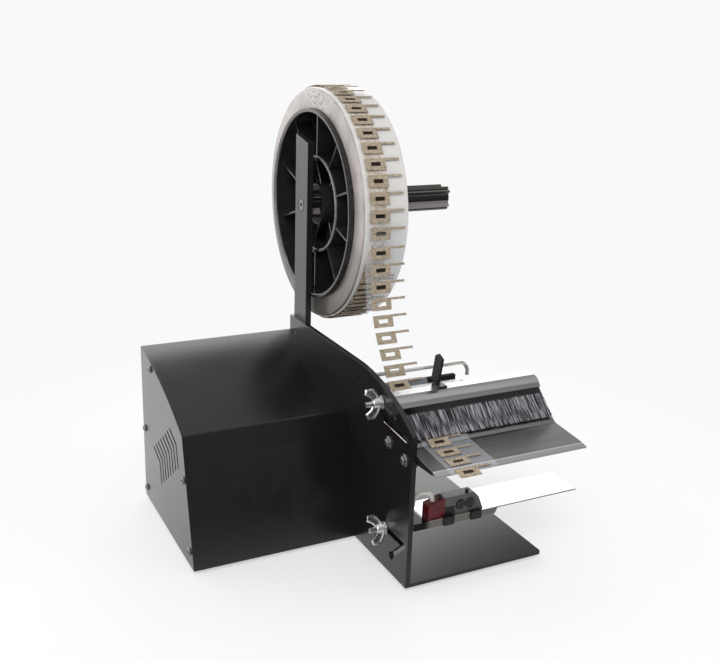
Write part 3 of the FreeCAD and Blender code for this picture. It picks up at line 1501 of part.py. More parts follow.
def power_switch():
    """Frame of the rocker switch in the rear panel."""
    face = HOUSING_REAR
    inner_w = SWITCH_WIDE - 2 * SWITCH_RIM
    inner_t = SWITCH_TALL - 2 * SWITCH_RIM
    frame = centred_box(SWITCH_X, SWITCH_Z, SWITCH_WIDE, SWITCH_TALL, face - SWITCH_DEEP, face)
    rim = centred_box(
        SWITCH_X, SWITCH_Z, SWITCH_WIDE + 2 * SWITCH_RIM, SWITCH_TALL + 2 * SWITCH_RIM,
        face, face + SWITCH_RIM,
    )
    frame = frame.fuse(rim)
    hollow = centred_box(SWITCH_X, SWITCH_Z, inner_w, inner_t, rocker_floor(), face + SWITCH_RIM + CUT)
    half = SWITCH_WIDE / 2
    pin = bar_x(*rocker_axis(), ROCKER_PIN_R, SWITCH_X - half, SWITCH_X + half)
    return frame.cut(hollow).fuse(pin).removeSplitter()


def rocker_axis():
    return (HOUSING_REAR - SWITCH_RIM, SWITCH_Z)


def rocker_floor():
    return HOUSING_REAR - SWITCH_DEEP + SWITCH_RIM


def power_rocker():
    """Rocker that turns on the switch's pin, its face hollowed into two slopes."""
    half_w = SWITCH_WIDE / 2 - SWITCH_RIM - ROCKER_GAP
    half_t = SWITCH_TALL / 2 - SWITCH_RIM - ROCKER_GAP * 2
    y, z = rocker_axis()
    front = y + SWITCH_RIM + ROCKER_RISE
    outline = [
        (y - ROCKER_RISE, z - half_t * ROCKER_WAIST_SHARE),
        (y + SWITCH_RIM / 2, z - half_t),
        (front, z - half_t),
        (front - ROCKER_RISE / 2, z),
        (front, z + half_t),
        (y + SWITCH_RIM / 2, z + half_t),
        (y - ROCKER_RISE, z + half_t * ROCKER_WAIST_SHARE),
    ]
    rocker = prism_x(outline, SWITCH_X - half_w, SWITCH_X + half_w)
    hole = bar_x(y, z, ROCKER_PIN_R + RUNNING_FIT, SWITCH_X - half_w - CUT, SWITCH_X + half_w + CUT)
    return rocker.cut(hole)


def power_inlet():
    """Three-pin mains inlet in the rear panel."""
    face = HOUSING_REAR
    z = SWITCH_Z
    body = centred_box(INLET_X, z, INLET_WIDE, INLET_TALL, face - INLET_DEEP, face)
    rim_wide = INLET_WIDE + 2 * INLET_RIM
    rim_tall = INLET_TALL + 2 * INLET_RIM
    rim = centred_box(INLET_X, z, rim_wide, rim_tall, face, face + SWITCH_RIM)
    hollow = centred_box(
        INLET_X, z, INLET_WIDE - 2 * INLET_WALL, INLET_TALL - 2 * INLET_WALL,
        face - INLET_DEEP + INLET_FLOOR, face + SWITCH_RIM + CUT,
    )
    inlet = body.fuse(rim).cut(hollow)
    y0 = face - INLET_DEEP + INLET_FLOOR
    pins = []
    for i in (-1, 0, 1):
        x = INLET_X + i * PIN_PITCH
        pin_z = z + (1 - 2 * abs(i)) * PIN_THICK
        pins.append(centred_box(x, pin_z, PIN_THICK, PIN_WIDE, y0, y0 + PIN_LONG))
    return inlet.fuse(pins).removeSplitter()


def build():
    """Every piece by name, in the working frame."""
    dial_left, dial_right = sensor_dials()
    return {
        "center_plate": center_plate(),
        "base_plate": base_plate(),
        "rubber_feet": rubber_feet(),
        "housing_cover": housing_cover(),
        "housing_end_plate": housing_end_plate(),
        "housing_floor": housing_floor(),
        "housing_rear_panel": housing_rear_panel(),
        "name_panel": name_panel(),
        "tie_bars": tie_bars(),
        "button_screws": button_screws(),
        "small_screws": small_screws(),
        "plate_washers": plate_washers(),
        "reel_arm": reel_arm(),
        "arm_screws": arm_screws(),
        "spindle_screws": spindle_screws(),
        "reel_spindle": reel_spindle(),
        "reel_shaft": reel_shaft(),
        "spindle_bushes": spindle_bushes(),
        "reel_hub": reel_hub(),
        "label_roll": label_roll(),
        "roll_labels": roll_labels(),
        "liner_web": liner_web(),
        "web_labels": web_labels(),
        "peel_plate": peel_plate(),
        "entry_table": entry_table(),
        "entry_strip": entry_strip(),
        "guide_rod": guide_rod(),
        "brush_holder": brush_holder(),
        "brush_bristles": brush_bristles(),
        "brush_stud": brush_stud(),
        "brush_wing_nut": wing_nut(STUD_Y, STUD_Z, BRUSH_NUT_LEAN),
        "edge_guide": edge_guide_set(),
        "sensor_bar": sensor_bar(),
        "sensor_stud": sensor_stud(),
        "sensor_wing_nut": wing_nut(BAR_STUD_Y, BAR_STUD_Z, BAR_NUT_LEAN),
        "sensor_head": sensor_head(),
        "sensor_block": sensor_block(),
        "sensor_cap": sensor_cap(),
        "sensor_dial_left": dial_left,
        "sensor_dial_right": dial_right,
        "lead_grommet": lead_grommet(),
        "lead_clip": lead_clip(),
        "sensor_lead_rear": lead("rear lead", LEAD_REAR_POINTS),
        "sensor_lead_front": lead("front lead", LEAD_FRONT_POINTS),
        "drive_shaft": drive_shaft(),
        "drive_sleeve": drive_sleeve(),
        "drive_bearings": drive_bearings(),
        "drive_pulley": pulley(DRIVE_Y, DRIVE_Z, DRIVE_PULLEY_R, DRIVE_SHAFT_R),
        "drive_belt": drive_belt(),
        "pinch_roller": pinch_roller(),
        "pinch_arm": pinch_arm(),
        "pivot_shaft": pivot_shaft(),
        "motor_bracket": motor_bracket(),
        "gear_motor": gear_motor(),
        "motor_pulley": motor_pulley(),
        "control_board": control_board(),
        "power_switch": power_switch(),
        "power_rocker": power_rocker(),
        "power_inlet": power_inlet(),
    }


def footprint_origin(pieces):
    """Middle of the whole object's footprint, at the height of its lowest point."""
    box_all = group(pieces.values()).optimalBoundingBox(False, False)
    return V((box_all.XMin + box_all.XMax) / 2, (box_all.YMin + box_all.YMax) / 2, box_all.ZMin)


parts = build()
ORIGIN = footprint_origin(parts)
os.makedirs("parts", exist_ok=True)
for name, shape in parts.items():
    shape.translate(ORIGIN * -1)
    shape.exportStep("parts/" + name + ".step")
print("origin in the working frame", [round(c, 4) for c in ORIGIN], "pieces", len(parts))
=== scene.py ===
# %% [markdown]
# A label dispenser for a workbench. A reel of die-cut cork labels feeds over a bent plate, a brush
# holds the film down, and an optical sensor under the plate stops the film at each label.
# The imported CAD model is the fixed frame. This script gives it its finishes and its fine pieces.

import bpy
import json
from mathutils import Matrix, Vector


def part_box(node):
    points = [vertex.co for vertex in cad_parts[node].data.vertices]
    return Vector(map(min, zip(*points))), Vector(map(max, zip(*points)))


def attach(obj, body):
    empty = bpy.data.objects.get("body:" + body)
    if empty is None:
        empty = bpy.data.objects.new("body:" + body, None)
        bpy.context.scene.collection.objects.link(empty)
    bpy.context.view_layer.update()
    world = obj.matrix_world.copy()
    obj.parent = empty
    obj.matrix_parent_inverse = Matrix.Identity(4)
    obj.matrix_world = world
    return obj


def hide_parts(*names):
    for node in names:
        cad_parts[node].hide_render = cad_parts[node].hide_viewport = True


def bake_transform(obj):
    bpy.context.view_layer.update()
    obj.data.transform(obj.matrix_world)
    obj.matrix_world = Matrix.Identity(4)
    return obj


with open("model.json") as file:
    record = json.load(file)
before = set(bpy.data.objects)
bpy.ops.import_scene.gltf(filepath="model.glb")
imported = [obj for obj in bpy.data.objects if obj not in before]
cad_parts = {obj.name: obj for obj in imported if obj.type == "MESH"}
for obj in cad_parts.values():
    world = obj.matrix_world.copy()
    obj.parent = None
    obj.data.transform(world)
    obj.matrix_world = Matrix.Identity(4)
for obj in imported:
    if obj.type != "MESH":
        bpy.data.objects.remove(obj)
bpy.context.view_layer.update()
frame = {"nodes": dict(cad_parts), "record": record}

# %% Other modules
import json
import math
import random

import bpy
from mathutils import Matrix, Vector

# %% [markdown]
# The photograph was taken from the left, a little above the reel. The camera's place, its three
# angles and its lens were solved from points that can be named both in the picture and on the
# CAD model, so the render lies over the photograph.

# %% Camera
CAMERA_PLACE = Vector((-0.4933, -1.0189, 0.6040))
CAMERA_YAW = math.radians(-27.162)
CAMERA_PITCH = math.radians(17.607)
CAMERA_ROLL = math.radians(1.879)
CAMERA_LENS = 47.98

bpy.ops.object.select_all(action="DESELECT")
bpy.ops.object.camera_add()
camera = bpy.context.object
camera.name = "camera"
camera.data.lens = CAMERA_LENS
camera.data.sensor_width = 36.0
camera.data.clip_start = 0.05
camera.data.clip_end = 50.0
camera.matrix_world = (
    Matrix.Translation(CAMERA_PLACE)
    @ Matrix.Rotation(CAMERA_YAW, 4, "Z")
    @ Matrix.Rotation(math.radians(90) - CAMERA_PITCH, 4, "X")
    @ Matrix.Rotation(CAMERA_ROLL, 4, "Z")
)
bpy.context.scene.camera = camera
bpy.context.scene.view_settings.view_transform = "Standard"
print("camera at", tuple(round(c, 3) for c in CAMERA_PLACE), "lens", CAMERA_LENS)

# %% [markdown]
# A material in Blender is a small graph of nodes. The helpers keep the graphs short. One turns a
# hex colour, as a paint maker prints it, to the linear numbers that the renderer works in, and
# one adds a node with its settings and its links. The others hold what most finishes share.

# %% Helpers for materials
SOFT = {"interpolation_type": "SMOOTHSTEP"}


def linear(hex_colour):
    """An sRGB hex colour as linear red, green, blue and alpha."""
    parts = [int(hex_colour[i:i + 2], 16) / 255 for i in (1, 3, 5)]
    return (*[c / 12.92 if c <= 0.04045 else ((c + 0.055) / 1.055) ** 2.4 for c in parts], 1.0)


def set_inputs(node, inputs):
    """Sets or links inputs of a node, in their order or by name.

    An input is a value, a socket or a node, and a node stands for its first output."""
    for name, value in inputs.items() if isinstance(inputs, dict) else enumerate(inputs):
        if isinstance(value, bpy.types.Node):
            value = value.outputs[0]
        if isinstance(value, bpy.types.NodeSocket):
            node.id_data.links.new(value, node.inputs[name])
        else:
            node.inputs[name].default_value = value


def add_node(tree, kind, inputs=(), stops=(), **settings):
    """A node with its settings and inputs, and with the hex colours of its ramp at their stops."""
    node = tree.nodes.new("ShaderNode" + kind)
    for name, value in settings.items():
        setattr(node, name, value)
    set_inputs(node, inputs)
    for i, (at, colour) in enumerate(stops):
        elements = node.color_ramp.elements
        element = elements[i] if i < len(elements) else elements.new(1.0)
        element.position = at
        element.color = linear(colour)
    return node


def new_material(name, colour, metallic, roughness):
    """A material with one Principled shader, to which each finish adds its own pattern."""
    material = bpy.data.materials.new(name)
    material.use_nodes = True
    shader = material.node_tree.nodes["Principled BSDF"]
    shader.inputs["Base Color"].default_value = linear(colour)
    shader.inputs["Metallic"].default_value = metallic
    shader.inputs["Roughness"].default_value = roughness
    return material, material.node_tree, shader


def pattern_place(tree, stretch=(1.0, 1.0, 1.0), shift=(0.0, 0.0, 0.0)):
    """The object's own coordinates, stretched and shifted, as a place to draw a pattern at."""
    place = add_node(tree, "TexCoord").outputs["Object"]
    return add_node(tree, "Mapping", {"Vector": place, "Scale": stretch, "Location": shift})


def bump(tree, height, depth, edge=0.0006):
    """A bump from a height of 0 to 1 that stands for `depth` metres, on edges rounded by `edge`."""
    rounded = add_node(tree, "Bevel", {"Radius": edge}, samples=4)
    return add_node(tree, "Bump", {"Height": height, "Distance": depth, "Normal": rounded})


def two_tone(tree, shader, pattern, dark, light, low, high):
    """A pattern of 0.3 to 0.7, such as noise gives, as two hex colours and as a roughness."""
    set_inputs(shader, {
        "Base Color": add_node(tree, "ValToRGB", (pattern,), [(0.3, dark), (0.7, light)]),
        "Roughness": add_node(tree, "MapRange", (pattern, 0.3, 0.7, low, high)),
    })


# %% [markdown]
# The floor and the wall are one pale sweep. The camera sees it nearly white, and sees some of the
# paper itself near the object, which keeps the soft shadow. In a mirror the floor gets darker
# towards the photographer.

# %% Stage
PAPER = "#F9F9F9"
FLOOR_HALF = 6.0
SHADOW_NEAR = 0.34
SHADOW_FAR = 0.80
SHADOW_LIFT = 0.55
MIRROR_NEAR = -0.65
MIRROR_FAR = 0.25
MIRROR_DARK = 0.12
MIRROR_BRIGHT = 1.32

bpy.ops.object.select_all(action="DESELECT")
bpy.ops.mesh.primitive_plane_add(size=FLOOR_HALF * 2, location=(0, 0, -0.0005))
floor = bpy.context.object
floor.name = "floor"
bpy.ops.object.transform_apply(location=True, rotation=True, scale=True)
paper, tree, shader = new_material("matte_white_paper", "#DCDCDC", 0.0, 0.9)
shader.inputs["Specular IOR Level"].default_value = 0.1
floor.data.materials.append(paper)


rays = add_node(tree, "LightPath").outputs
place = add_node(tree, "TexCoord").outputs["Object"]
away = add_node(tree, "VectorMath", (place,), operation="LENGTH").outputs["Value"]
fade = add_node(tree, "MapRange", (away, SHADOW_NEAR, SHADOW_FAR, SHADOW_LIFT), **SOFT)
faded = add_node(tree, "Math", (fade, rays["Is Camera Ray"]), operation="MULTIPLY")
glow = add_node(tree, "Emission", (linear(PAPER), 1.0))
sweep = add_node(tree, "MixShader", (faded, shader, glow))
depth = add_node(tree, "SeparateXYZ", (place,)).outputs["Y"]
level = add_node(tree, "MapRange", (depth, MIRROR_NEAR, MIRROR_FAR, MIRROR_DARK, MIRROR_BRIGHT))
mirrored = add_node(tree, "Emission", (linear(PAPER), level))
floor_look = add_node(tree, "MixShader", (rays["Is Glossy Ray"], sweep, mirrored))
set_inputs(tree.nodes["Material Output"], {"Surface": floor_look})
print("floor:", FLOOR_HALF * 2, "m across")

# %% [markdown]
# Black gloss shows the room more than its own colour. The room here is white behind the object
# and dark where the photographer stands, with a paler ceiling. The white wall's top slopes down
# to the right, so the housing's crown fades from grey to black along its length, while its front
# stays nearly black and its end turns grey, as in the photograph.

# %% Room
DARK_SIDE = 0.36
OVERHEAD = 0.85
WALL_BRIGHT = 2.8
WALL_TOP = 0.430
WALL_END = 0.530
WALL_SLANT = 0.60
SLANT_FROM = 0.18
CEILING_FROM = 0.6
CEILING_FULL = 0.9
BEHIND_FROM = -0.5
BEHIND_FULL = 0.3

world = bpy.data.worlds.new("studio")
bpy.context.scene.world = world
world.use_nodes = True
tree = world.node_tree
camera_ray = add_node(tree, "LightPath").outputs["Is Camera Ray"]
direction = add_node(tree, "TexCoord").outputs["Generated"]
parts = add_node(tree, "SeparateXYZ", (direction,)).outputs
behind = add_node(tree, "MapRange", (parts["Y"], BEHIND_FROM, BEHIND_FULL), **SOFT)
right = add_node(tree, "Math", (parts["X"], SLANT_FROM), operation="MAXIMUM")
slanted = add_node(tree, "Math", (right, WALL_SLANT, parts["Z"]), operation="MULTIPLY_ADD")
wall_top, wall_end = WALL_TOP + WALL_SLANT / 2, WALL_END + WALL_SLANT / 2
below = add_node(tree, "MapRange", (slanted, wall_end, wall_top), **SOFT)
wall = add_node(tree, "Math", (behind, below), operation="MULTIPLY")
ceiling_span = (parts["Z"], CEILING_FROM, CEILING_FULL, DARK_SIDE, OVERHEAD)
ceiling = add_node(tree, "MapRange", ceiling_span, **SOFT)
room = add_node(tree, "MapRange", (wall, 0.0, 1.0, ceiling, WALL_BRIGHT))
around = add_node(tree, "Background", (linear(PAPER), room))
seen = add_node(tree, "Background", (linear(PAPER), 1.0))
look = add_node(tree, "MixShader", (camera_ray, around, seen))
set_inputs(tree.nodes["World Output"], {"Surface": look})
print("room:", world.name)

# %% Lamps
def soft_box(name, place, target, size, power):
    """A square lamp that looks at a target."""
    bpy.ops.object.select_all(action="DESELECT")
    bpy.ops.object.light_add(type="AREA", location=place)
    lamp = bpy.context.object
    lamp.name = name
    lamp.data.size = size
    lamp.data.energy = power
    lamp.rotation_mode = "QUATERNION"
    lamp.rotation_quaternion = (Vector(target) - Vector(place)).to_track_quat("-Z", "Y")
    return lamp


OBJECT_MIDDLE = (0.0, 0.0, 0.2)
key = soft_box("key", (-0.9, -1.6, 2.2), OBJECT_MIDDLE, 1.4, 40.0)
fill = soft_box("fill", (2.0, -1.0, 1.2), OBJECT_MIDDLE, 1.6, 18.0)
back = soft_box("back", (0.95, 2.2, 1.1), OBJECT_MIDDLE, 1.5, 17.0)
for lamp in (key, fill, back):
    lamp.visible_glossy = False
soft_box("rim", (-2.2, -1.3, 0.9), OBJECT_MIDDLE, 1.0, 9.0)

# %% [markdown]
# The plates and the housing are aluminium sheet with a satin black powder coat. Powder melts to a
# skin with a very fine orange peel, so it is never a perfect mirror: the peel is 0.5 mm across
# here, and wiping with a cloth leaves faint clouds in the gloss.

# %% Powder coat
def powder_coat(name, dark, light, roughness):
    material, tree, shader = new_material(name, light, 0.0, roughness)
    place = pattern_place(tree)
    clouds = add_node(tree, "TexNoise", {"Vector": place, "Scale": 1 / 0.09, "Detail": 3.0})
    two_tone(tree, shader, clouds, dark, light, roughness - 0.02, roughness + 0.02)
    peel = add_node(tree, "TexNoise", {"Vector": place, "Scale": 1 / 0.0005})
    set_inputs(shader, {"Normal": bump(tree, peel, 0.000002)})
    return material


black_coat = powder_coat("black_powder_coat", "#131010", "#171414", 0.23)
base_coat = powder_coat("black_powder_coat_wiped", "#131010", "#171414", 0.09)


def anodised_bar(name, dark, light, roughness):
    """Flat bar with the fine upright lines of its extrusion."""
    material, tree, shader = new_material(name, light, 0.0, roughness)
    place = pattern_place(tree, (1.0, 1.0, 0.02))
    lines = add_node(tree, "TexNoise", {"Vector": place, "Scale": 1 / 0.0011, "Detail": 1.0})
    two_tone(tree, shader, lines, dark, light, roughness + 0.04, roughness - 0.04)
    return material


def ribbed_coat_painted_highlights(name, top, foot):
    """Anodised ribs, with highlights painted as lighter bands at set heights of the flanks."""
    material, tree, shader = new_material(name, "#1C1A1B", 0.0, 0.24)
    height = add_node(tree, "SeparateXYZ", (pattern_place(tree),)).outputs["Z"]
    share = add_node(tree, "MapRange", (height, top, foot))
    set_inputs(shader, {"Base Color": add_node(tree, "ValToRGB", (share,), [
        (0.0, "#1A1819"), (0.16, "#57544F"), (0.18, "#0E0D0E"), (0.28, "#0E0D0E"),
        (0.30, "#5F5C5D"), (0.36, "#171516"), (0.58, "#171516"), (0.60, "#7A7475"),
        (0.86, "#6C6768"), (0.88, "#0E0D0E"), (0.94, "#4A4748"), (1.0, "#0E0D0E"),
    ])})
    return material


arm_coat = anodised_bar("black_anodised_aluminium", "#0F0E0F", "#252426", 0.32)
# The shaft's lighter bands are painted highlights at set heights of its ribs.
low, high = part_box("reel_shaft")
shaft_coat_painted_highlights = ribbed_coat_painted_highlights("black_anodised_shaft_painted_highlights", high.z, low.z)
print("coats:", black_coat.name, arm_coat.name, shaft_coat_painted_highlights.name)

# %% [markdown]
# Metal shows how it was made. A rolled or drawn bar has fine lines along its length, a turned
# part has none that the eye can see from here, and zinc plating is a little cloudy. The lines are
# noise that is stretched along one axis: a real brush line is 0.1 mm wide and 30 mm long, and is
# drawn 0.4 mm wide here so that it shows.

# %% Metals
def metal(name, dark, light, roughness, grain=(0.0015, 0.0015, 0.0015), depth=0.000015):
    """A bare or plated metal whose grain is `grain` metres long along each axis."""
    material, tree, shader = new_material(name, light, 1.0, roughness)
    place = pattern_place(tree, tuple(1 / size for size in grain))
    lines = add_node(tree, "TexNoise", {"Vector": place, "Scale": 1.0, "Detail": 3.0})
    two_tone(tree, shader, lines, dark, light, roughness - 0.05, roughness + 0.07)
    set_inputs(shader, {"Normal": bump(tree, lines, depth)})
    return material


BRUSHED_ALONG_X = (0.03, 0.0004, 0.0004)
ROD_OUT = 0.002
SHELF_REFLECTION_TO = 0.010
SHELF_REFLECTION_CLEAR_FROM = 0.017
STRIP_WIDE = 0.008
zinc = metal("bright_zinc_plating", "#C4C4C2", "#ECECEA", 0.22)
chrome = metal("polished_chrome", "#E8E7E2", "#F6F5F1", 0.34)
ground_steel = metal("ground_steel", "#9A9A9B", "#BDBDBF", 0.26, BRUSHED_ALONG_X)
black_oxide = metal("black_oxide_steel", "#6A6866", "#807E7B", 0.36)
bronze = metal("sintered_bronze", "#7A5A33", "#A07C4C", 0.42, (0.0008, 0.0008, 0.0008))
plated_steel = metal("zinc_plated_steel", "#8F9093", "#B4B5B8", 0.34)


def dark_end(material, start_x, end_x):
    """Darkens a metal from one place along X to another, where it dips into shadow."""
    tree = material.node_tree
    shader = tree.nodes["Principled BSDF"]
    bright = shader.inputs["Base Color"].links[0].from_socket
    across = add_node(tree, "SeparateXYZ", (pattern_place(tree),)).outputs["X"]
    outside = add_node(tree, "MapRange", (across, start_x, end_x))
    ends = {0: outside, 6: bright, 7: linear("#141213")}
    set_inputs(shader, {"Base Color": add_node(tree, "Mix", ends, data_type="RGBA").outputs[2]})


rod_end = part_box("center_plate")[0].x + ROD_OUT
dark_end(chrome, rod_end + 0.0002, rod_end)


def drawn_sheet(name, dark, light, roughness):
    """Sheet or extrusion fresh from the mill, so smooth that its lines only just show."""
    material, tree, shader = new_material(name, light, 1.0, roughness)
    place = pattern_place(tree, (0.02, 1.0, 1.0))
    lines = add_node(tree, "TexNoise", {"Vector": place, "Scale": 1 / 0.004, "Detail": 1.0})
    set_inputs(shader, {
        "Base Color": add_node(tree, "ValToRGB", (lines,), [(0.3, dark), (0.7, light)]),
        "Normal": add_node(tree, "Bevel", {"Radius": 0.0008}, samples=4),
    })
    return material


def polished_shelf(top):
    """Mirror sheet whose upper side, at the height `top`, is polished and whose bends are satin.

    Its left end is painted dark: a painted reflection of the dark centre plate."""
    material, tree, shader = new_material("polished_stainless_sheet", "#F4F4F5", 1.0, 0.05)
    parts = add_node(tree, "SeparateXYZ", (pattern_place(tree),)).outputs
    upper = add_node(tree, "MapRange", (parts["Z"], top - 0.0004, top - 0.0002))
    clear = add_node(tree, "MapRange", (parts["X"], SHELF_REFLECTION_TO, SHELF_REFLECTION_CLEAR_FROM))
    sides = {0: upper, 6: linear("#8E8A86"), 7: linear("#E6E6E7")}
    sheet = add_node(tree, "Mix", sides, data_type="RGBA").outputs[2]
    # The left end gets a painted reflection of the dark centre plate.
    ends = {0: clear, 6: linear("#2C2C2E"), 7: sheet}
    set_inputs(shader, {
        "Base Color": add_node(tree, "Mix", ends, data_type="RGBA").outputs[2],
        "Roughness": add_node(tree, "MapRange", (upper, 0.0, 1.0, 0.38, 0.16)),
    })
    return material


def peel_sheet_painted_highlight(bend_y):
    """Satin sheet with a painted highlight: a lighter strip in front of the bend at `bend_y`."""
    material = drawn_sheet("satin_stainless_sheet_painted_highlight", "#7D7C7B", "#888786", 0.28)
    tree = material.node_tree
    shader = tree.nodes["Principled BSDF"]
    plain = shader.inputs["Base Color"].links[0].from_socket
    depth = add_node(tree, "SeparateXYZ", (pattern_place(tree),)).outputs["Y"]
    front = add_node(tree, "MapRange", (depth, bend_y + 0.0006, bend_y))
    share = add_node(tree, "MapRange", (depth, bend_y + 0.0006, bend_y - STRIP_WIDE))
    # The strip is lighter, and brightest near the bend: a painted highlight where the bent nose
    # catches the light.
    highlight_stops = [(0.16, "#F0F0F5"), (0.24, "#C8C7CC"), (0.88, "#C4C4C4")]
    strip = add_node(tree, "ValToRGB", (share,), highlight_stops)
    halves = {0: front, 6: plain, 7: strip}
    set_inputs(shader, {"Base Color": add_node(tree, "Mix", halves, data_type="RGBA").outputs[2]})
    return material


aluminium = drawn_sheet("drawn_aluminium", "#B0B0B0", "#BEBEBE", 0.26)
bright_sheet = polished_shelf(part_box("sensor_bar")[1].z)
peel_steel = peel_sheet_painted_highlight(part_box("peel_plate")[0].y + STRIP_WIDE)
print("metals:", [m.name for m in (zinc, chrome, black_oxide, bronze, aluminium, peel_steel)])

# %% [markdown]
# Plastic and rubber have no metal in them. Moulded ABS takes its gloss from the mould, and ground
# rubber is matte with a grit that can be felt.

# %% Plastics and rubbers
def plastic(name, dark, light, roughness, grit=0.0008, depth=0.00002):
    """A moulded or ground plastic with a surface grit `grit` metres across."""
    material, tree, shader = new_material(name, light, 0.0, roughness)
    place = pattern_place(tree)
    patches = add_node(tree, "TexNoise", {"Vector": place, "Scale": 1 / 0.02, "Detail": 3.0})
    two_tone(tree, shader, patches, dark, light, roughness - 0.03, roughness + 0.05)
    grains = add_node(tree, "TexNoise", {"Vector": place, "Scale": 1 / grit})
    set_inputs(shader, {"Normal": bump(tree, grains, depth)})
    return material


REEL_AXIS = sum(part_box("reel_hub"), Vector()) / 2
FROM_REEL_AXIS = {"stretch": (0.0, 1.0, 1.0), "shift": (0.0, -REEL_AXIS.y, -REEL_AXIS.z)}
CORE_R = 0.024
CORE_END_R = 0.030

hub_abs = plastic("moulded_black_abs", "#1F1D1E", "#292728", 0.25)
# Near the axis, deep in the hub, the gloss fades out: painted shade in the recess.
tree = hub_abs.node_tree
place = pattern_place(tree, **FROM_REEL_AXIS)
from_axis = add_node(tree, "VectorMath", (place,), operation="LENGTH").outputs["Value"]
gloss = add_node(tree, "MapRange", (from_axis, CORE_R, CORE_END_R, 0.03, 0.5))
set_inputs(tree.nodes["Principled BSDF"], {"Specular IOR Level": gloss})
# The rims' beads are a lighter grey than the black moulding: a painted highlight.
rim_abs_painted_highlight = plastic("moulded_rim_abs_painted_highlight", "#5B595B", "#757376", 0.22)
panel_coat = plastic("black_vinyl_panel", "#151416", "#181719", 0.17, 0.004, 0.0000002)
dial_plastic = plastic("moulded_dial_abs", "#1B1C1B", "#262726", 0.30)
black_nylon = plastic("moulded_black_nylon", "#121213", "#1A1A1B", 0.40)
head_plastic = plastic("moulded_grey_abs", "#454946", "#505450", 0.36)
cap_plastic = plastic("moulded_dark_red_abs", "#4A1014", "#5E171B", 0.28)
lead_vinyl = plastic("light_grey_vinyl", "#B5B2AC", "#CCCAC5", 0.45)
black_rubber = plastic("moulded_rubber", "#101010", "#1A1A1A", 0.75, 0.0005, 0.00004)
roller_rubber = plastic("ground_rubber", "#1F1F20", "#2C2C2D", 0.85, 0.0004, 0.00006)
green_board = plastic("circuit_board_lacquer", "#0F4426", "#17603A", 0.35)
print("plastics:", [m.name for m in (hub_abs, rim_abs_painted_highlight, black_nylon, head_plastic, lead_vinyl)])

# %% [markdown]
# Cork sheet is pressed from crumbs of bark 0.5 to 1 mm across, so its colour is a scatter of
# light and dark crumbs and its surface is pitted. Cells of a Voronoi texture are such crumbs.

# %% Cork
CRUMB = 0.0009

def cork():
    material, tree, shader = new_material("pressed_cork", "#A8946F", 0.0, 0.9)
    place = pattern_place(tree)
    crumbs = add_node(tree, "TexVoronoi", {"Vector": place, "Scale": 1 / CRUMB}).outputs
    shade = add_node(tree, "SeparateColor", (crumbs["Color"],)).outputs["Red"]
    bark = [(0.0, "#665B4C"), (0.35, "#8C8070"), (1.0, "#ACA08D")]
    set_inputs(shader, {
        "Base Color": add_node(tree, "ValToRGB", (shade,), bark),
        "Normal": bump(tree, crumbs["Distance"], 0.00006),
        "Specular IOR Level": 0.2,
    })
    return material


cork_sheet = cork()
print("cork crumbs of", CRUMB * 1000, "mm")

# %% [markdown]
# The labels ride on a clear film with a silicone skin. One layer is a faint bluish haze that
# glints, and the forty or so turns of the roll, side by side, show a grey edge that is darker and
# browner low down, with painted shade.

# %% Film
def clear_film(name, colour, alpha, roughness):
    material, tree, shader = new_material(name, colour, 0.0, roughness)
    ripples = add_node(tree, "TexNoise", {"Vector": pattern_place(tree), "Scale": 1 / 0.03})
    set_inputs(shader, {"Alpha": alpha, "Normal": bump(tree, ripples, 0.0006)})
    return material


film = clear_film("silicone_film", "#E4E8F0", 0.09, 0.08)
print("film:", film.name)

# %% [markdown]
# Round the reel's axis the turns are rings 0.6 mm apart, drawn here 1.5 mm apart so that they
# show. Where the labels of many turns happen to line up, their brown edges show as specks.

# %% Wound film
TURN_WIDTH = 0.0015
SPECKS_PER_METRE = 330.0


def film_edges():
    """Rings round the reel's axis, painted shade low down, and specks in the middle of the roll."""
    material, tree, shader = new_material("wound_film_edges", "#B9B7BD", 0.0, 0.30)
    place = pattern_place(tree)
    spot = pattern_place(tree, **FROM_REEL_AXIS)
    radius = add_node(tree, "VectorMath", (spot,), operation="LENGTH").outputs["Value"]
    ring = {"W": radius, "Scale": 1 / TURN_WIDTH, "Detail": 3.0}
    rings = add_node(tree, "TexNoise", ring, noise_dimensions="1D")
    haze = add_node(tree, "TexNoise", {"Vector": place, "Scale": 1 / 0.03, "Detail": 3.0})
    both = add_node(tree, "Math", (rings, haze), operation="ADD")
    half = add_node(tree, "Math", (both, 0.5), operation="MULTIPLY")
    high_bands = add_node(tree, "ValToRGB", (half,), [(0.3, "#766F6C"), (0.7, "#A9A29E")])
    painted_low_shade = add_node(tree, "ValToRGB", (half,), [(0.3, "#2B2722"), (0.7, "#524C45")])
    parts = add_node(tree, "SeparateXYZ", (spot,)).outputs
    low_down = add_node(tree, "MapRange", (parts["Z"], 0.02, -0.14), **SOFT)
    heights = {0: low_down, 6: high_bands, 7: painted_low_shade}
    bands = add_node(tree, "Mix", heights, data_type="RGBA").outputs[2]
    sideways = add_node(tree, "Math", (parts["Y"],), operation="ABSOLUTE")
    crowded = add_node(tree, "MapRange", (sideways, 0.080, 0.015))
    flecks = add_node(tree, "TexVoronoi", {"Vector": place, "Scale": SPECKS_PER_METRE})
    speck = add_node(tree, "MapRange", (flecks.outputs["Distance"], 0.42, 0.30))
    shown = add_node(tree, "Math", (speck, crowded), operation="MULTIPLY")
    specks = {0: shown, 6: bands, 7: linear("#3E3222")}
    set_inputs(shader, {
        "Base Color": add_node(tree, "Mix", specks, data_type="RGBA").outputs[2],
        "Normal": bump(tree, rings, 0.00008, 0.0012),
    })
    return material


edge_film = film_edges()
print("wound film:", edge_film.name)

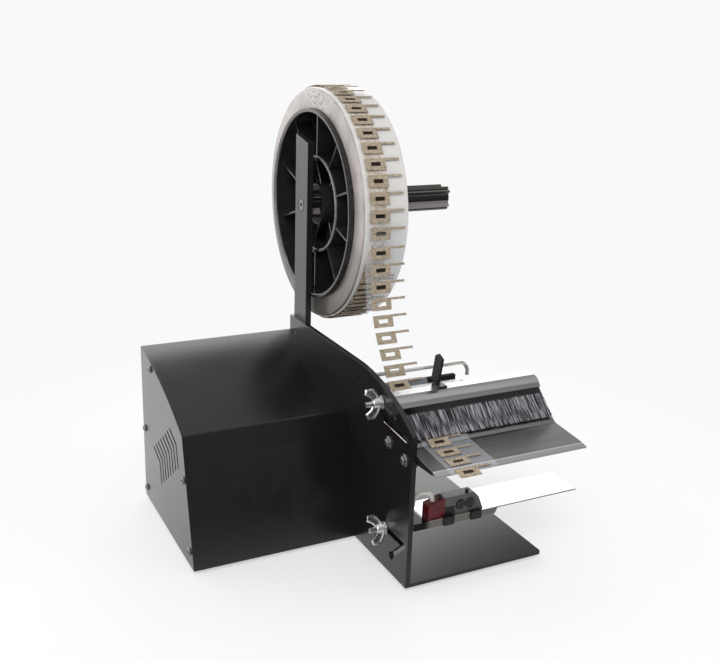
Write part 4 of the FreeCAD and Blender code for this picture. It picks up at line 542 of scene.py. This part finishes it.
# %% [markdown]
# Felt is matted wool, dark and fuzzy. Nylon bristles are thin glossy rods, most of them near
# black, and the few that catch the lamps are painted light grey, as glints. Their roots under the
# holder's lip are darkened with painted shade.

# %% Felt and bristles
LIP_SHADE_DEEP = 0.0062
felt = plastic("wool_felt", "#0E0E0F", "#1B1B1C", 0.95, 0.0007, 0.0002)


def bristle_nylon():
    """Dark strands, light ones as painted glints, and painted shade under the holder's lip."""
    material, tree, shader = new_material("black_nylon_bristle", "#1A181C", 0.0, 0.38)
    place = pattern_place(tree, (1.0, 0.02, 0.02))
    strands = add_node(tree, "TexNoise", {"Vector": place, "Scale": 1 / 0.00045, "Detail": 0.0})
    greys = [(0.44, "#09080A"), (0.54, "#4A474D"), (0.62, "#ABA8AF")]
    loose = add_node(tree, "ValToRGB", (strands,), greys)
    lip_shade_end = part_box("brush_bristles")[1].z - LIP_SHADE_DEEP
    height = add_node(tree, "SeparateXYZ", (pattern_place(tree),)).outputs["Z"]
    under_lip_shade = add_node(tree, "MapRange", (height, lip_shade_end, lip_shade_end + 0.0012))
    band = {0: under_lip_shade, 6: loose, 7: linear("#060506")}
    set_inputs(shader, {"Base Color": add_node(tree, "Mix", band, data_type="RGBA").outputs[2]})
    return material


bristle = bristle_nylon()
print("brush:", bristle.name)

# %% [markdown]
# Every CAD node that stays gets a finish. Which finish a node gets follows its slot in the
# record, and a few nodes that the picture shows differently are named.

# %% Dress the CAD nodes
SLOT_FINISH = {
    "black_anodised_plate": black_coat,
    "black_painted_sheet": black_coat,
    "rubber_black": black_rubber,
    "panel_dark": panel_coat,
    "zinc_screw": zinc,
    "black_screw": black_oxide,
    "bright_steel": ground_steel,
    "moulded_black": hub_abs,
    "bronze_bush": bronze,
    "film_roll": edge_film,
    "film": film,
    "cork_label": cork_sheet,
    "peel_steel": peel_steel,
    "brushed_aluminium": aluminium,
    "felt_black": felt,
    "chrome_rod": chrome,
    "bristle": bristle,
    "polished_sheet": bright_sheet,
    "sensor_grey": head_plastic,
    "sensor_black": black_nylon,
    "sensor_red": cap_plastic,
    "lead_grey": lead_vinyl,
    "drive_rubber": roller_rubber,
    "belt_rubber": black_rubber,
    "board_green": green_board,
    "motor_metal": plated_steel,
    "steel_bracket": plated_steel,
    "switch_plastic": black_nylon,
}
NODE_FINISH = {
    "base_plate": base_coat,
    "reel_arm": arm_coat,
    "reel_shaft": shaft_coat_painted_highlights,
    "sensor_dial_left": dial_plastic,
    "sensor_dial_right": dial_plastic,
}

for part in frame["record"]["subparts"]:
    node = frame["nodes"][part["node"]]
    finish = NODE_FINISH.get(part["node"], SLOT_FINISH[part["material_slot"]])
    node.data.materials.clear()
    node.data.materials.append(finish)

# %% [markdown]
# The fine pieces below are modelled as by hand: a primitive is added at its size and place, and
# faces are picked by where they are. Three helpers do what a modeller does with the mouse: pick
# faces, put a finished piece at the origin with its finish and body, and copy a shape in a row.

# %% Helpers for modelling
def deselect():
    if bpy.context.object and bpy.context.object.mode != "OBJECT":
        bpy.ops.object.mode_set(mode="OBJECT")
    bpy.ops.object.select_all(action="DESELECT")


def only(piece):
    """Makes a piece the only selected and the active one."""
    deselect()
    piece.select_set(True)
    bpy.context.view_layer.objects.active = piece


def edit_all(piece):
    """Enters edit mode with the whole piece selected."""
    only(piece)
    bpy.ops.object.mode_set(mode="EDIT")
    bpy.ops.mesh.select_all(action="SELECT")


def pick_faces(piece, test):
    """Enters edit mode with the faces selected whose centre and normal pass a test."""
    only(piece)
    bpy.ops.object.mode_set(mode="EDIT")
    bpy.ops.mesh.select_mode(type="FACE")
    bpy.ops.mesh.select_all(action="DESELECT")
    bpy.ops.object.mode_set(mode="OBJECT")
    for face in piece.data.polygons:
        face.select = test(face.center, face.normal)
    bpy.ops.object.mode_set(mode="EDIT")


def apply_all(piece):
    """Applies every modifier of a piece, in order."""
    only(piece)
    for modifier in list(piece.modifiers):
        bpy.ops.object.modifier_apply(modifier=modifier.name)


def finish_piece(piece, name, finish, body, angle=35):
    """Puts a piece's place in its mesh, smooths it, and gives it its finish and body.

    A piece that is given no body is left without one."""
    if bpy.context.object and bpy.context.object.mode != "OBJECT":
        bpy.ops.object.mode_set(mode="OBJECT")
    apply_all(piece)
    bpy.ops.object.transform_apply(location=True, rotation=True, scale=True)
    bpy.ops.object.shade_smooth_by_angle(angle=math.radians(angle))
    piece.name = name
    piece.data.name = name
    piece.data.materials.clear()
    piece.data.materials.append(finish)
    if body:
        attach(piece, body)
    return piece


def new_piece(name, data):
    """A new object in the scene, from a mesh or a curve."""
    piece = bpy.data.objects.new(name, data)
    bpy.context.collection.objects.link(piece)
    return piece


def mesh_piece(name, points, faces, edges=()):
    """A new mesh object from points and faces, or from points and edges."""
    mesh = bpy.data.meshes.new(name)
    mesh.from_pydata(points, edges, faces)
    mesh.update()
    return new_piece(name, mesh)


def copies_of(template, places):
    """One mesh with a copy of a template's points moved by each of many functions."""
    base = [v.co.copy() for v in template.data.vertices]
    loops = [tuple(face.vertices) for face in template.data.polygons]
    points, faces = [], []
    for place in places:
        first = len(points)
        points += [place(v) for v in base]
        faces += [tuple(i + first for i in loop) for loop in loops]
    return points, faces


# %% [markdown]
# The brush is a strip of nylon bristles clamped in an aluminium holder. A real bristle is 0.2 mm
# thick, far too fine to show from here, so these are 0.4 mm thick and fewer. One straight bristle
# is modelled, with two cuts where it can bend, and copied along the strip. Each copy leans and
# ends its own way, which makes the ragged edge and the gleam of single strands.

# %% Bristles
BRISTLE_R = 0.00020
BRISTLE_PITCH = 0.00052
BRISTLE_ROWS = 7
BRISTLE_LEAN = 0.0005

deselect()
bpy.ops.mesh.primitive_cylinder_add(vertices=4, radius=BRISTLE_R, depth=1.0, location=(0, 0, 0.5))
one_bristle = bpy.context.object
bpy.ops.object.transform_apply(location=True)
bpy.ops.object.mode_set(mode="EDIT")
for share in (0.4, 0.75):
    bpy.ops.mesh.select_all(action="SELECT")
    bpy.ops.mesh.bisect(plane_co=(0, 0, share), plane_no=(0, 0, 1))
bpy.ops.object.mode_set(mode="OBJECT")

low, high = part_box("brush_bristles")
root_front = Vector((0, high.y - 0.0043, high.z))
root_rear = Vector((0, high.y, high.z - 0.0049))
tip_front = Vector((0, low.y, low.z))
tip_rear = Vector((0, low.y + 0.004, low.z + 0.0024))


def bristle_place(x, depth, chance):
    """Where a point of the template goes, for a bristle at x and at a depth from front to rear."""
    root = root_front.lerp(root_rear, depth)
    tip = tip_front.lerp(tip_rear, depth)
    along = tip - root
    out = Vector((0, along.z, -along.y)).normalized()
    long = 1 - abs(chance.gauss(0, 0.02))
    lean = Vector((chance.gauss(0, BRISTLE_LEAN), 0, 0)) + out * chance.gauss(0, BRISTLE_LEAN / 2)

    def place(v):
        bent = lean * v.z * v.z
        return Vector((x + v.x, 0, 0)) + root + along * (v.z * long) + bent + out * v.y
    return place


chance = random.Random(7)
clear = high.x - low.x - 4 * BRISTLE_R
count = int(clear / BRISTLE_PITCH)
places = []
for row in range(BRISTLE_ROWS):
    depth = (row + 0.5) / BRISTLE_ROWS
    for i in range(count):
        x = low.x + 2 * BRISTLE_R + (i + chance.random()) * clear / count
        places.append(bristle_place(x, depth, chance))
bristles = mesh_piece("bristle_strip", *copies_of(one_bristle, places))
bpy.data.objects.remove(one_bristle)
finish_piece(bristles, "bristle_strip", bristle, "brush", 60)
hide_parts("brush_bristles")
print("bristles:", len(places))

# %% [markdown]
# The reel's moulded hub is the CAD solid with its vanes. What a mould adds here is the rolled
# bead on both rims, and the four snap tabs that lock the ring to the spindle.

# %% Hub rims
low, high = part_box("reel_hub")
HUB_R = (high.z - low.z) / 2
RING_R = 0.062
BEAD_R = 0.0022

def bead(name, x, ring_r, bead_r):
    """A round bead on a rim of the hub."""
    deselect()
    bpy.ops.mesh.primitive_torus_add(
        location=(x, REEL_AXIS.y, REEL_AXIS.z), rotation=(0, math.radians(90), 0),
        major_radius=ring_r, minor_radius=bead_r, major_segments=160, minor_segments=12,
    )
    return finish_piece(bpy.context.object, name, rim_abs_painted_highlight, "reel")


# The beads get the lighter grey of a painted highlight along the rims.
bead("hub_rim_left", low.x + BEAD_R, HUB_R - BEAD_R, BEAD_R)
bead("hub_rim_right", high.x - BEAD_R, HUB_R - BEAD_R, BEAD_R)
bead("hub_ring_bead", low.x + 0.0115, RING_R - 0.0015, 0.0018)
print("hub radius", round(HUB_R, 4))

# %% Snap tabs
TAB_ANGLES = (80, 100, 260, 280)
TAB_LONG = 0.009

for i, angle in enumerate(TAB_ANGLES):
    deselect()
    bpy.ops.mesh.primitive_cube_add(size=1.0, location=(low.x + 0.010, 0, 0))
    tab = bpy.context.object
    tab.dimensions = (TAB_LONG, 0.007, 0.0025)
    bpy.ops.object.transform_apply(location=False, rotation=False, scale=True)
    pick_faces(tab, lambda centre, normal: normal.x < -0.5)
    bpy.ops.mesh.extrude_region_move(TRANSFORM_OT_translate={"value": (-0.0015, 0, 0.0018)})
    bpy.ops.object.mode_set(mode="OBJECT")
    tab.modifiers.new("bevel", "BEVEL").width = 0.0006
    apply_all(tab)
    tab.location = (low.x + 0.010, 0, RING_R - 0.002)
    bpy.ops.object.transform_apply(location=True)
    turn = Matrix.Rotation(math.radians(angle - 90), 4, "X")
    tab.matrix_world = Matrix.Translation((0, REEL_AXIS.y, REEL_AXIS.z)) @ turn
    finish_piece(tab, f"hub_tab_{i + 1}", hub_abs, "reel")
print("snap tabs:", len(TAB_ANGLES))

# %% [markdown]
# The sensor's lead is soft grey vinyl. It passes through the plate, hangs to the bar and loops up
# into the red cap. Each length's line is a smooth spline along the route's own points, made a tube
# and then a mesh. The points are written as they are in the CAD source, whose origin lies
# elsewhere, so BUILD_ORIGIN is taken from each.

# %% Sensor leads
LEAD_R = 0.003
BUILD_ORIGIN = Vector((0.010625, 0.210052, -0.004))
LEAD_REAR_POINTS = [
    (-0.010, 0.160, 0.080),
    (0.024, 0.160, 0.080),
    (0.022, 0.112, 0.082),
    (0.014, 0.070, 0.086),
    (0.014, 0.037, 0.086),
]
LEAD_FRONT_POINTS = [
    (0.014, 0.037, 0.086),
    (0.014, 0.017, 0.086),
    (0.014, 0.016, 0.107),
    (0.035, 0.009, 0.110),
    (0.035, 0.009, 0.093),
]


def lead(name, points):
    curve = bpy.data.curves.new(name, "CURVE")
    curve.dimensions = "3D"
    line = curve.splines.new("NURBS")
    line.points.add(len(points) - 1)
    for point, place in zip(line.points, points):
        point.co = (*(Vector(place) - BUILD_ORIGIN), 1.0)
    line.order_u = 3
    line.use_endpoint_u = True
    line.resolution_u = 16
    curve.bevel_depth = LEAD_R
    curve.bevel_resolution = 6
    curve.use_fill_caps = True
    only(new_piece(name, curve))
    bpy.ops.object.convert(target="MESH")
    return finish_piece(bpy.context.object, name, lead_vinyl, None, 60)


rear_lead = lead("lead_rear", LEAD_REAR_POINTS)
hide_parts("sensor_lead_rear")
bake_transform(rear_lead)
front_lead = lead("lead_front", LEAD_FRONT_POINTS)
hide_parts("sensor_lead_front")
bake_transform(front_lead)
print("leads:", rear_lead.name, front_lead.name)

# %% [markdown]
# The roll is some forty turns of film with labels. It is spun from its outline, with the outer
# corners rounded as soft film edges are. Its flanks show film edges, and its rim shows the
# labels of the turns below through the film, a brown band under the frames and pale film beside.
# Low down the band turns darker, in bars of label edges with painted shade.

# %% Wound roll
def spun(name, outline, axis_point, steps=192):
    """A solid of revolution about a line along X, from a closed outline of (x, radius)."""
    count = len(outline)
    ring = [(x, axis_point.y, axis_point.z + r) for x, r in outline]
    piece = mesh_piece(name, ring, [], [(i, (i + 1) % count) for i in range(count)])
    edit_all(piece)
    bpy.ops.mesh.spin(steps=steps, angle=math.tau, center=axis_point, axis=(1, 0, 0))
    bpy.ops.mesh.select_all(action="SELECT")
    bpy.ops.mesh.remove_doubles(threshold=0.00001)
    bpy.ops.mesh.normals_make_consistent(inside=False)
    bpy.ops.object.mode_set(mode="OBJECT")
    return piece


UNDER_STEP = 0.0009
LABELS_ROUND = 46
roll_low, roll_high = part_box("label_roll")
roll_outer = (roll_high.z - roll_low.z) / 2
roll_inner = HUB_R + 0.0003
TOP_TURN = roll_outer - 2 * UNDER_STEP
CORNER = 0.003

x0, x1 = roll_low.x, roll_high.x
outline = [(x0, roll_inner)]
for centre_x, first in ((x0 + CORNER, 180), (x1 - CORNER, 90)):
    for i in range(7):
        angle = math.radians(first - 15 * i)
        radius = TOP_TURN - CORNER + CORNER * math.sin(angle)
        outline.append((centre_x + CORNER * math.cos(angle), radius))
outline.append((x1, roll_inner))
roll = spun("wound_roll", outline, REEL_AXIS)


def stacked_turns():
    """The roll's rim: brown label frames under film on the left, pale film on the right."""
    material, tree, shader = new_material("film_over_labels", "#E2E0DE", 0.0, 0.25)
    place = pattern_place(tree)
    parts = add_node(tree, "SeparateXYZ", (place,)).outputs
    rise = add_node(tree, "MapRange", (parts["X"], x0 + 0.005, x0 + 0.008))
    fall = add_node(tree, "MapRange", (parts["X"], x0 + 0.035, x0 + 0.032))
    frames = add_node(tree, "Math", (rise, fall), operation="MULTIPLY")
    crumbs = add_node(tree, "TexNoise", {"Vector": place, "Scale": 1 / 0.004, "Detail": 4.0})
    upper = add_node(tree, "ValToRGB", (crumbs,), [(0.3, "#9D9385"), (0.7, "#D0CAC2")])
    flat = pattern_place(tree, (0.1, 1.0, 1.0))
    bars = add_node(tree, "TexNoise", {"Vector": flat, "Scale": 1 / 0.0016})
    # Below the axis the frames show as bars of label edges, darkened with painted shade.
    lower = add_node(tree, "ValToRGB", (bars,), [(0.3, "#1E1812"), (0.7, "#93836C")])
    down = add_node(tree, "MapRange", (parts["Z"], REEL_AXIS.z - 0.03, REEL_AXIS.z - 0.07))
    heights = {0: down, 6: upper, 7: lower}
    layers = add_node(tree, "Mix", heights, data_type="RGBA").outputs[2]
    sides = {0: frames, 6: linear("#C2C0BE"), 7: layers}
    set_inputs(shader, {"Base Color": add_node(tree, "Mix", sides, data_type="RGBA").outputs[2]})
    return material


finish_piece(roll, "wound_roll", edge_film, "reel", 60)
roll.data.materials.append(stacked_turns())
for face in roll.data.polygons:
    face.material_index = 0 if abs(face.normal.x) > 0.5 else 1
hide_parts("label_roll")
print("roll outer radius", round(roll_outer, 4), "inner", round(roll_inner, 4))

# %% [markdown]
# The two turns below the top one show their labels a part of a pitch further on. They are copies
# of the CAD labels turned round the axis, and so is the label that is just leaving the roll.

# %% Labels under the film
def turned_copy(node, name, angle, shrink):
    """A copy of a CAD node's mesh, merged, turned about the reel's axis and drawn in towards it."""
    source = frame["nodes"][node]
    piece = new_piece(name, source.data.copy())
    edit_all(piece)
    bpy.ops.mesh.remove_doubles(threshold=0.00001)
    bpy.ops.object.mode_set(mode="OBJECT")
    to_axis = Matrix.Translation(-REEL_AXIS)
    turn = Matrix.Rotation(angle, 4, "X")
    draw_in = Matrix.Diagonal((1, shrink, shrink, 1))
    piece.data.transform(to_axis.inverted() @ draw_in @ turn @ to_axis @ source.matrix_world)
    return piece


def label_number(point):
    """Which of the labels round the roll a point belongs to."""
    angle = math.atan2(point.z - REEL_AXIS.z, point.y - REEL_AXIS.y) % math.tau
    return int(angle / PITCH_ANGLE)


def keep_labels(piece, test):
    """Deletes the labels whose number fails a test."""
    pick_faces(piece, lambda c, n: not test(label_number(c)))
    bpy.ops.mesh.delete(type="FACE")
    deselect()


PITCH_ANGLE = math.tau / LABELS_ROUND
LAST_ON_ROLL = 22
LEAVING_LIFT = 0.0030
FIRST_BEHIND = 30
UNDER_FIRST = 26
UNDER_LAST = 36

top_labels = turned_copy("roll_labels", "labels_on_roll", 0.0, 1.0)
keep_labels(top_labels, lambda k: k <= LAST_ON_ROLL or k >= FIRST_BEHIND)
finish_piece(top_labels, "labels_on_roll", cork_sheet, "reel")
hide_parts("roll_labels")

lift = 1 + LEAVING_LIFT / roll_outer
leaving = turned_copy("roll_labels", "label_leaving_roll", PITCH_ANGLE, lift)
keep_labels(leaving, lambda k: k == LAST_ON_ROLL + 1)
finish_piece(leaving, "label_leaving_roll", cork_sheet, "reel")

for i, share in enumerate((0.5, 0.27)):
    shrink = 1 - UNDER_STEP * (i + 1) / roll_outer
    under = turned_copy("roll_labels", f"under_labels_{i + 1}", PITCH_ANGLE * share, shrink)
    keep_labels(under, lambda k: UNDER_FIRST <= k <= UNDER_LAST)
    finish_piece(under, f"under_labels_{i + 1}", cork_sheet, "reel")

# %% [markdown]
# Through the hole of a label on the stack there is only the shade of the turns below, drawn as
# a dark sheet of painted shade. Labels that hang free, between the roll and the table, show the
# white behind them, so they get none. Low on the roll the labels of many turns crowd together,
# and the dark slits between them, thin boxes of painted shade, show as bars.

# %% Dark holes
HOLE_MIDDLE_X = roll_low.x + 0.020
HOLE_WIDE = 0.0135
HOLE_TALL = 0.0056
SLIT_WIDE = 0.028
SLIT_TALL = 0.0022
SLIT_FIRST = 27
SLIT_LAST = 36
FREE_TOP = 0.300
FREE_LOW = 0.205
painted_stack_shade = plastic("shadowed_label_stack", "#120D07", "#241A10", 0.8)

def thin_box(size):
    """A box at the origin, to be copied."""
    deselect()
    bpy.ops.mesh.primitive_cube_add(size=1.0)
    box = bpy.context.object
    box.scale = size
    bpy.ops.object.transform_apply(scale=True)
    return box


def well_place(middle, along, out):
    """Where a point of the template goes, for a label with these middle and directions."""
    return lambda v: middle + Vector((v.x, 0, 0)) + along * v.y + out * v.z


def place_on_roll(angle, radius, shift=0.0):
    """The same for a label at an angle and a radius round the reel's axis."""
    out = Vector((0, math.cos(angle), math.sin(angle)))
    middle = Vector((HOLE_MIDDLE_X + shift, REEL_AXIS.y, REEL_AXIS.z)) + out * radius
    return well_place(middle, Vector((0, -out.z, out.y)), out)


well = thin_box((HOLE_WIDE, HOLE_TALL, 0.0004))
places = [
    place_on_roll(PITCH_ANGLE * (i + 0.5), roll_outer - 0.0005)
    for i in range(LABELS_ROUND) if not LAST_ON_ROLL < i < FIRST_BEHIND
]
leaving_radius = roll_outer + LEAVING_LIFT - 0.0005
places.append(place_on_roll(PITCH_ANGLE * (LAST_ON_ROLL + 1.5), leaving_radius))
wells = mesh_piece("label_holes", *copies_of(well, places))
finish_piece(wells, "label_holes", painted_stack_shade, "reel")

slit = thin_box((SLIT_WIDE, SLIT_TALL, 0.0003))
chance = random.Random(3)
places = []
for i in range(SLIT_FIRST * 2, SLIT_LAST * 2):
    angle = PITCH_ANGLE * (i + chance.uniform(-0.2, 0.2)) / 2
    places.append(place_on_roll(angle, roll_outer, chance.uniform(-0.002, 0.002)))
slits = mesh_piece("label_slits", *copies_of(slit, places))
bpy.data.objects.remove(slit)
finish_piece(slits, "label_slits", painted_stack_shade, "reel")

web = turned_copy("web_labels", "web_parts", 0.0, 1.0)
edit_all(web)
bpy.ops.mesh.separate(type="LOOSE")
bpy.ops.object.mode_set(mode="OBJECT")
places = []
for piece in list(bpy.context.selected_objects):
    corners = [v.co.copy() for v in piece.data.vertices]
    bpy.data.objects.remove(piece)
    middle = sum(corners, Vector()) / len(corners)
    if FREE_LOW < middle.z < FREE_TOP:
        continue
    order = (lambda c: c.z) if middle.z > FREE_TOP else (lambda c: c.y - c.z)
    first, last = min(corners, key=order), max(corners, key=order)
    along = Vector((0, last.y - first.y, last.z - first.z)).normalized()
    out = Vector((0, -along.z, along.y))
    middle = Vector((HOLE_MIDDLE_X, (first.y + last.y) / 2, (first.z + last.z) / 2))
    places.append(well_place(middle - out * 0.0001, along, out))
web_wells = mesh_piece("web_label_holes", *copies_of(well, places))
bpy.data.objects.remove(well)
finish_piece(web_wells, "web_label_holes", painted_stack_shade, "root")
print("dark holes on the web:", len(places))

# %% [markdown]
# Inside the vents of the end plate, just under its outer face, lie dark strips of painted shade,
# wider than the slots, so the vents read as dark slits. Along the upper slot of the centre plate
# runs a thin bright metal rod, a painted glint on the slot's edge.

# %% Painted shade in the vents and a glint on the slot edge
VENT_LINE = ((0.2869, 0.0884), (0.2623, 0.0794), (0.2563, 0.0531))
VENT_STEP = (-0.0107, 0.0078)
VENT_COUNT = 8
VENT_WIDE = 0.0038
VENT_DEEP = 0.0006
GLINT_FROM = Vector((-0.0002, 0.0645, 0.1775))
GLINT_TO = Vector((-0.0002, 0.0128, 0.1732))
GLINT_R = 0.0005

end_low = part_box("housing_end_plate")[0]
top, bend, tail = [Vector((0, y, z)) for y, z in VENT_LINE]
first_way = (bend - top).normalized()
second_way = (tail - bend).normalized()
first_side = Vector((0, -first_way.z, first_way.y)) * VENT_WIDE / 2
second_side = Vector((0, -second_way.z, second_way.y)) * VENT_WIDE / 2
mitre = (first_side + second_side).normalized() * VENT_WIDE / 2
one_rim = [top + first_side, bend + mitre, tail + second_side]
other_rim = [tail - second_side, bend - mitre, top - first_side]
strip = mesh_piece("strip", one_rim + other_rim, [(0, 1, 4, 5), (1, 2, 3, 4)])
step = Vector((0, *VENT_STEP))
outer = Vector((end_low.x + VENT_DEEP, 0, 0)) - Vector((0, BUILD_ORIGIN.y, BUILD_ORIGIN.z))
vent_shade = mesh_piece("vent_painted_shade", *copies_of(strip, [
    (lambda v, move=outer + step * i: v + move) for i in range(VENT_COUNT)
]))
bpy.data.objects.remove(strip)
vent_shade.modifiers.new("thickness", "SOLIDIFY").thickness = 0.0004
finish_piece(vent_shade, "vent_painted_shade", felt, "root")

# A thin bright rod along the slot's lower edge: a painted glint.
run = GLINT_TO - GLINT_FROM
middle = (GLINT_FROM + GLINT_TO) / 2 - BUILD_ORIGIN
deselect()
bpy.ops.mesh.primitive_cylinder_add(vertices=16, radius=GLINT_R, depth=run.length)
bare = bpy.context.object
bare.matrix_world = Matrix.Translation(middle) @ run.to_track_quat("Z", "Y").to_matrix().to_4x4()
finish_piece(bare, "slot_edge_glint", zinc, "root")
print("vents:", VENT_COUNT, "bare edge", round(run.length, 4), "m long")

# %% [markdown]
# The screw in the end of the spindle has a hexagon socket, drawn as a dark hexagon of painted
# shade on its head, and a thin dark ring of painted shadow lies round the head where it sits in
# the arm.

# %% Socket of the spindle screw
SOCKET_R = 0.0029
CONTACT_SHADOW_R = 0.0083
CONTACT_SHADOW_WIDE = 0.00035

screw_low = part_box("spindle_screws")[0]
deselect()
bpy.ops.mesh.primitive_cylinder_add(
    vertices=6, radius=SOCKET_R, depth=0.0002, rotation=(0, math.radians(90), 0),
    location=(screw_low.x - 0.0001, REEL_AXIS.y, REEL_AXIS.z),
)
finish_piece(bpy.context.object, "spindle_screw_socket_shade", felt, "root")
deselect()
bpy.ops.mesh.primitive_torus_add(
    location=(screw_low.x, REEL_AXIS.y, REEL_AXIS.z), rotation=(0, math.radians(90), 0),
    major_radius=CONTACT_SHADOW_R, minor_radius=CONTACT_SHADOW_WIDE, major_segments=64, minor_segments=6,
)
finish_piece(bpy.context.object, "spindle_screw_contact_shadow", felt, "root")
print("socket radius", SOCKET_R)

# %% [markdown]
# A wing nut is cast: a conical hub and two ears that flare away from the plate, each a thick rim
# round a thinner web. One ear is a flat outline, made thick, its web pressed in, and its edges
# rounded. The second ear is the first one turned over.

# %% Wing nuts
EAR_OUTLINE = [
    (0.0030, 0.0010), (0.0070, 0.0008), (0.0125, 0.0042), (0.0172, 0.0088),
    (0.0168, 0.0172), (0.0112, 0.0190), (0.0072, 0.0125), (0.0030, 0.0095),
]
EAR_THICK = 0.0042
EAR_RIM = 0.0020
EAR_PRESS = 0.0013
HUB_LONG = 0.0095


def wing_nut(name, node, body, lean):
    """A wing nut whose hub stands on the washer, its ears turned by `lean` from upright."""
    nut_low, nut_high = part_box(node)
    middle = (nut_low + nut_high) / 2
    ears = []
    for side in (1, -1):
        points = [(-h, -EAR_THICK / 2, side * r) for r, h in EAR_OUTLINE]
        piece = mesh_piece(name, points, [tuple(range(len(points)))])
        edit_all(piece)
        bpy.ops.mesh.extrude_region_move(TRANSFORM_OT_translate={"value": (0, EAR_THICK, 0)})
        bpy.ops.mesh.select_all(action="SELECT")
        bpy.ops.mesh.normals_make_consistent(inside=False)
        bpy.ops.object.mode_set(mode="OBJECT")
        for face_side in (-1, 1):
            pick_faces(piece, lambda c, n, f=face_side: n.y * f > 0.9)
            bpy.ops.mesh.inset(thickness=EAR_RIM)
            bpy.ops.mesh.inset(thickness=0.0004, depth=-EAR_PRESS)
            bpy.ops.object.mode_set(mode="OBJECT")
        rounding = piece.modifiers.new("rounding", "BEVEL")
        rounding.width = 0.0005
        rounding.segments = 3
        apply_all(piece)
        ears.append(piece)
    deselect()
    bpy.ops.mesh.primitive_cone_add(
        vertices=48, radius1=0.0068, radius2=0.0050, depth=HUB_LONG,
        location=(-HUB_LONG / 2, 0, 0), rotation=(0, math.radians(-90), 0),
    )
    hub = bpy.context.object
    hub.modifiers.new("bevel", "BEVEL").width = 0.0006
    apply_all(hub)
    for piece in ears:
        piece.select_set(True)
    bpy.ops.object.join()
    nut = bpy.context.object
    nut.matrix_world = (
        Matrix.Translation((nut_high.x, middle.y, middle.z))
        @ Matrix.Rotation(math.radians(lean), 4, "X") @ nut.matrix_world
    )
    finish_piece(nut, name, zinc, body, 50)
    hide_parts(node)
    return nut


wing_nut("wing_nut_upper", "brush_wing_nut", "brush_nut", -13)
wing_nut("wing_nut_lower", "sensor_wing_nut", "sensor_nut", -37)
print("wing nuts:", 2)
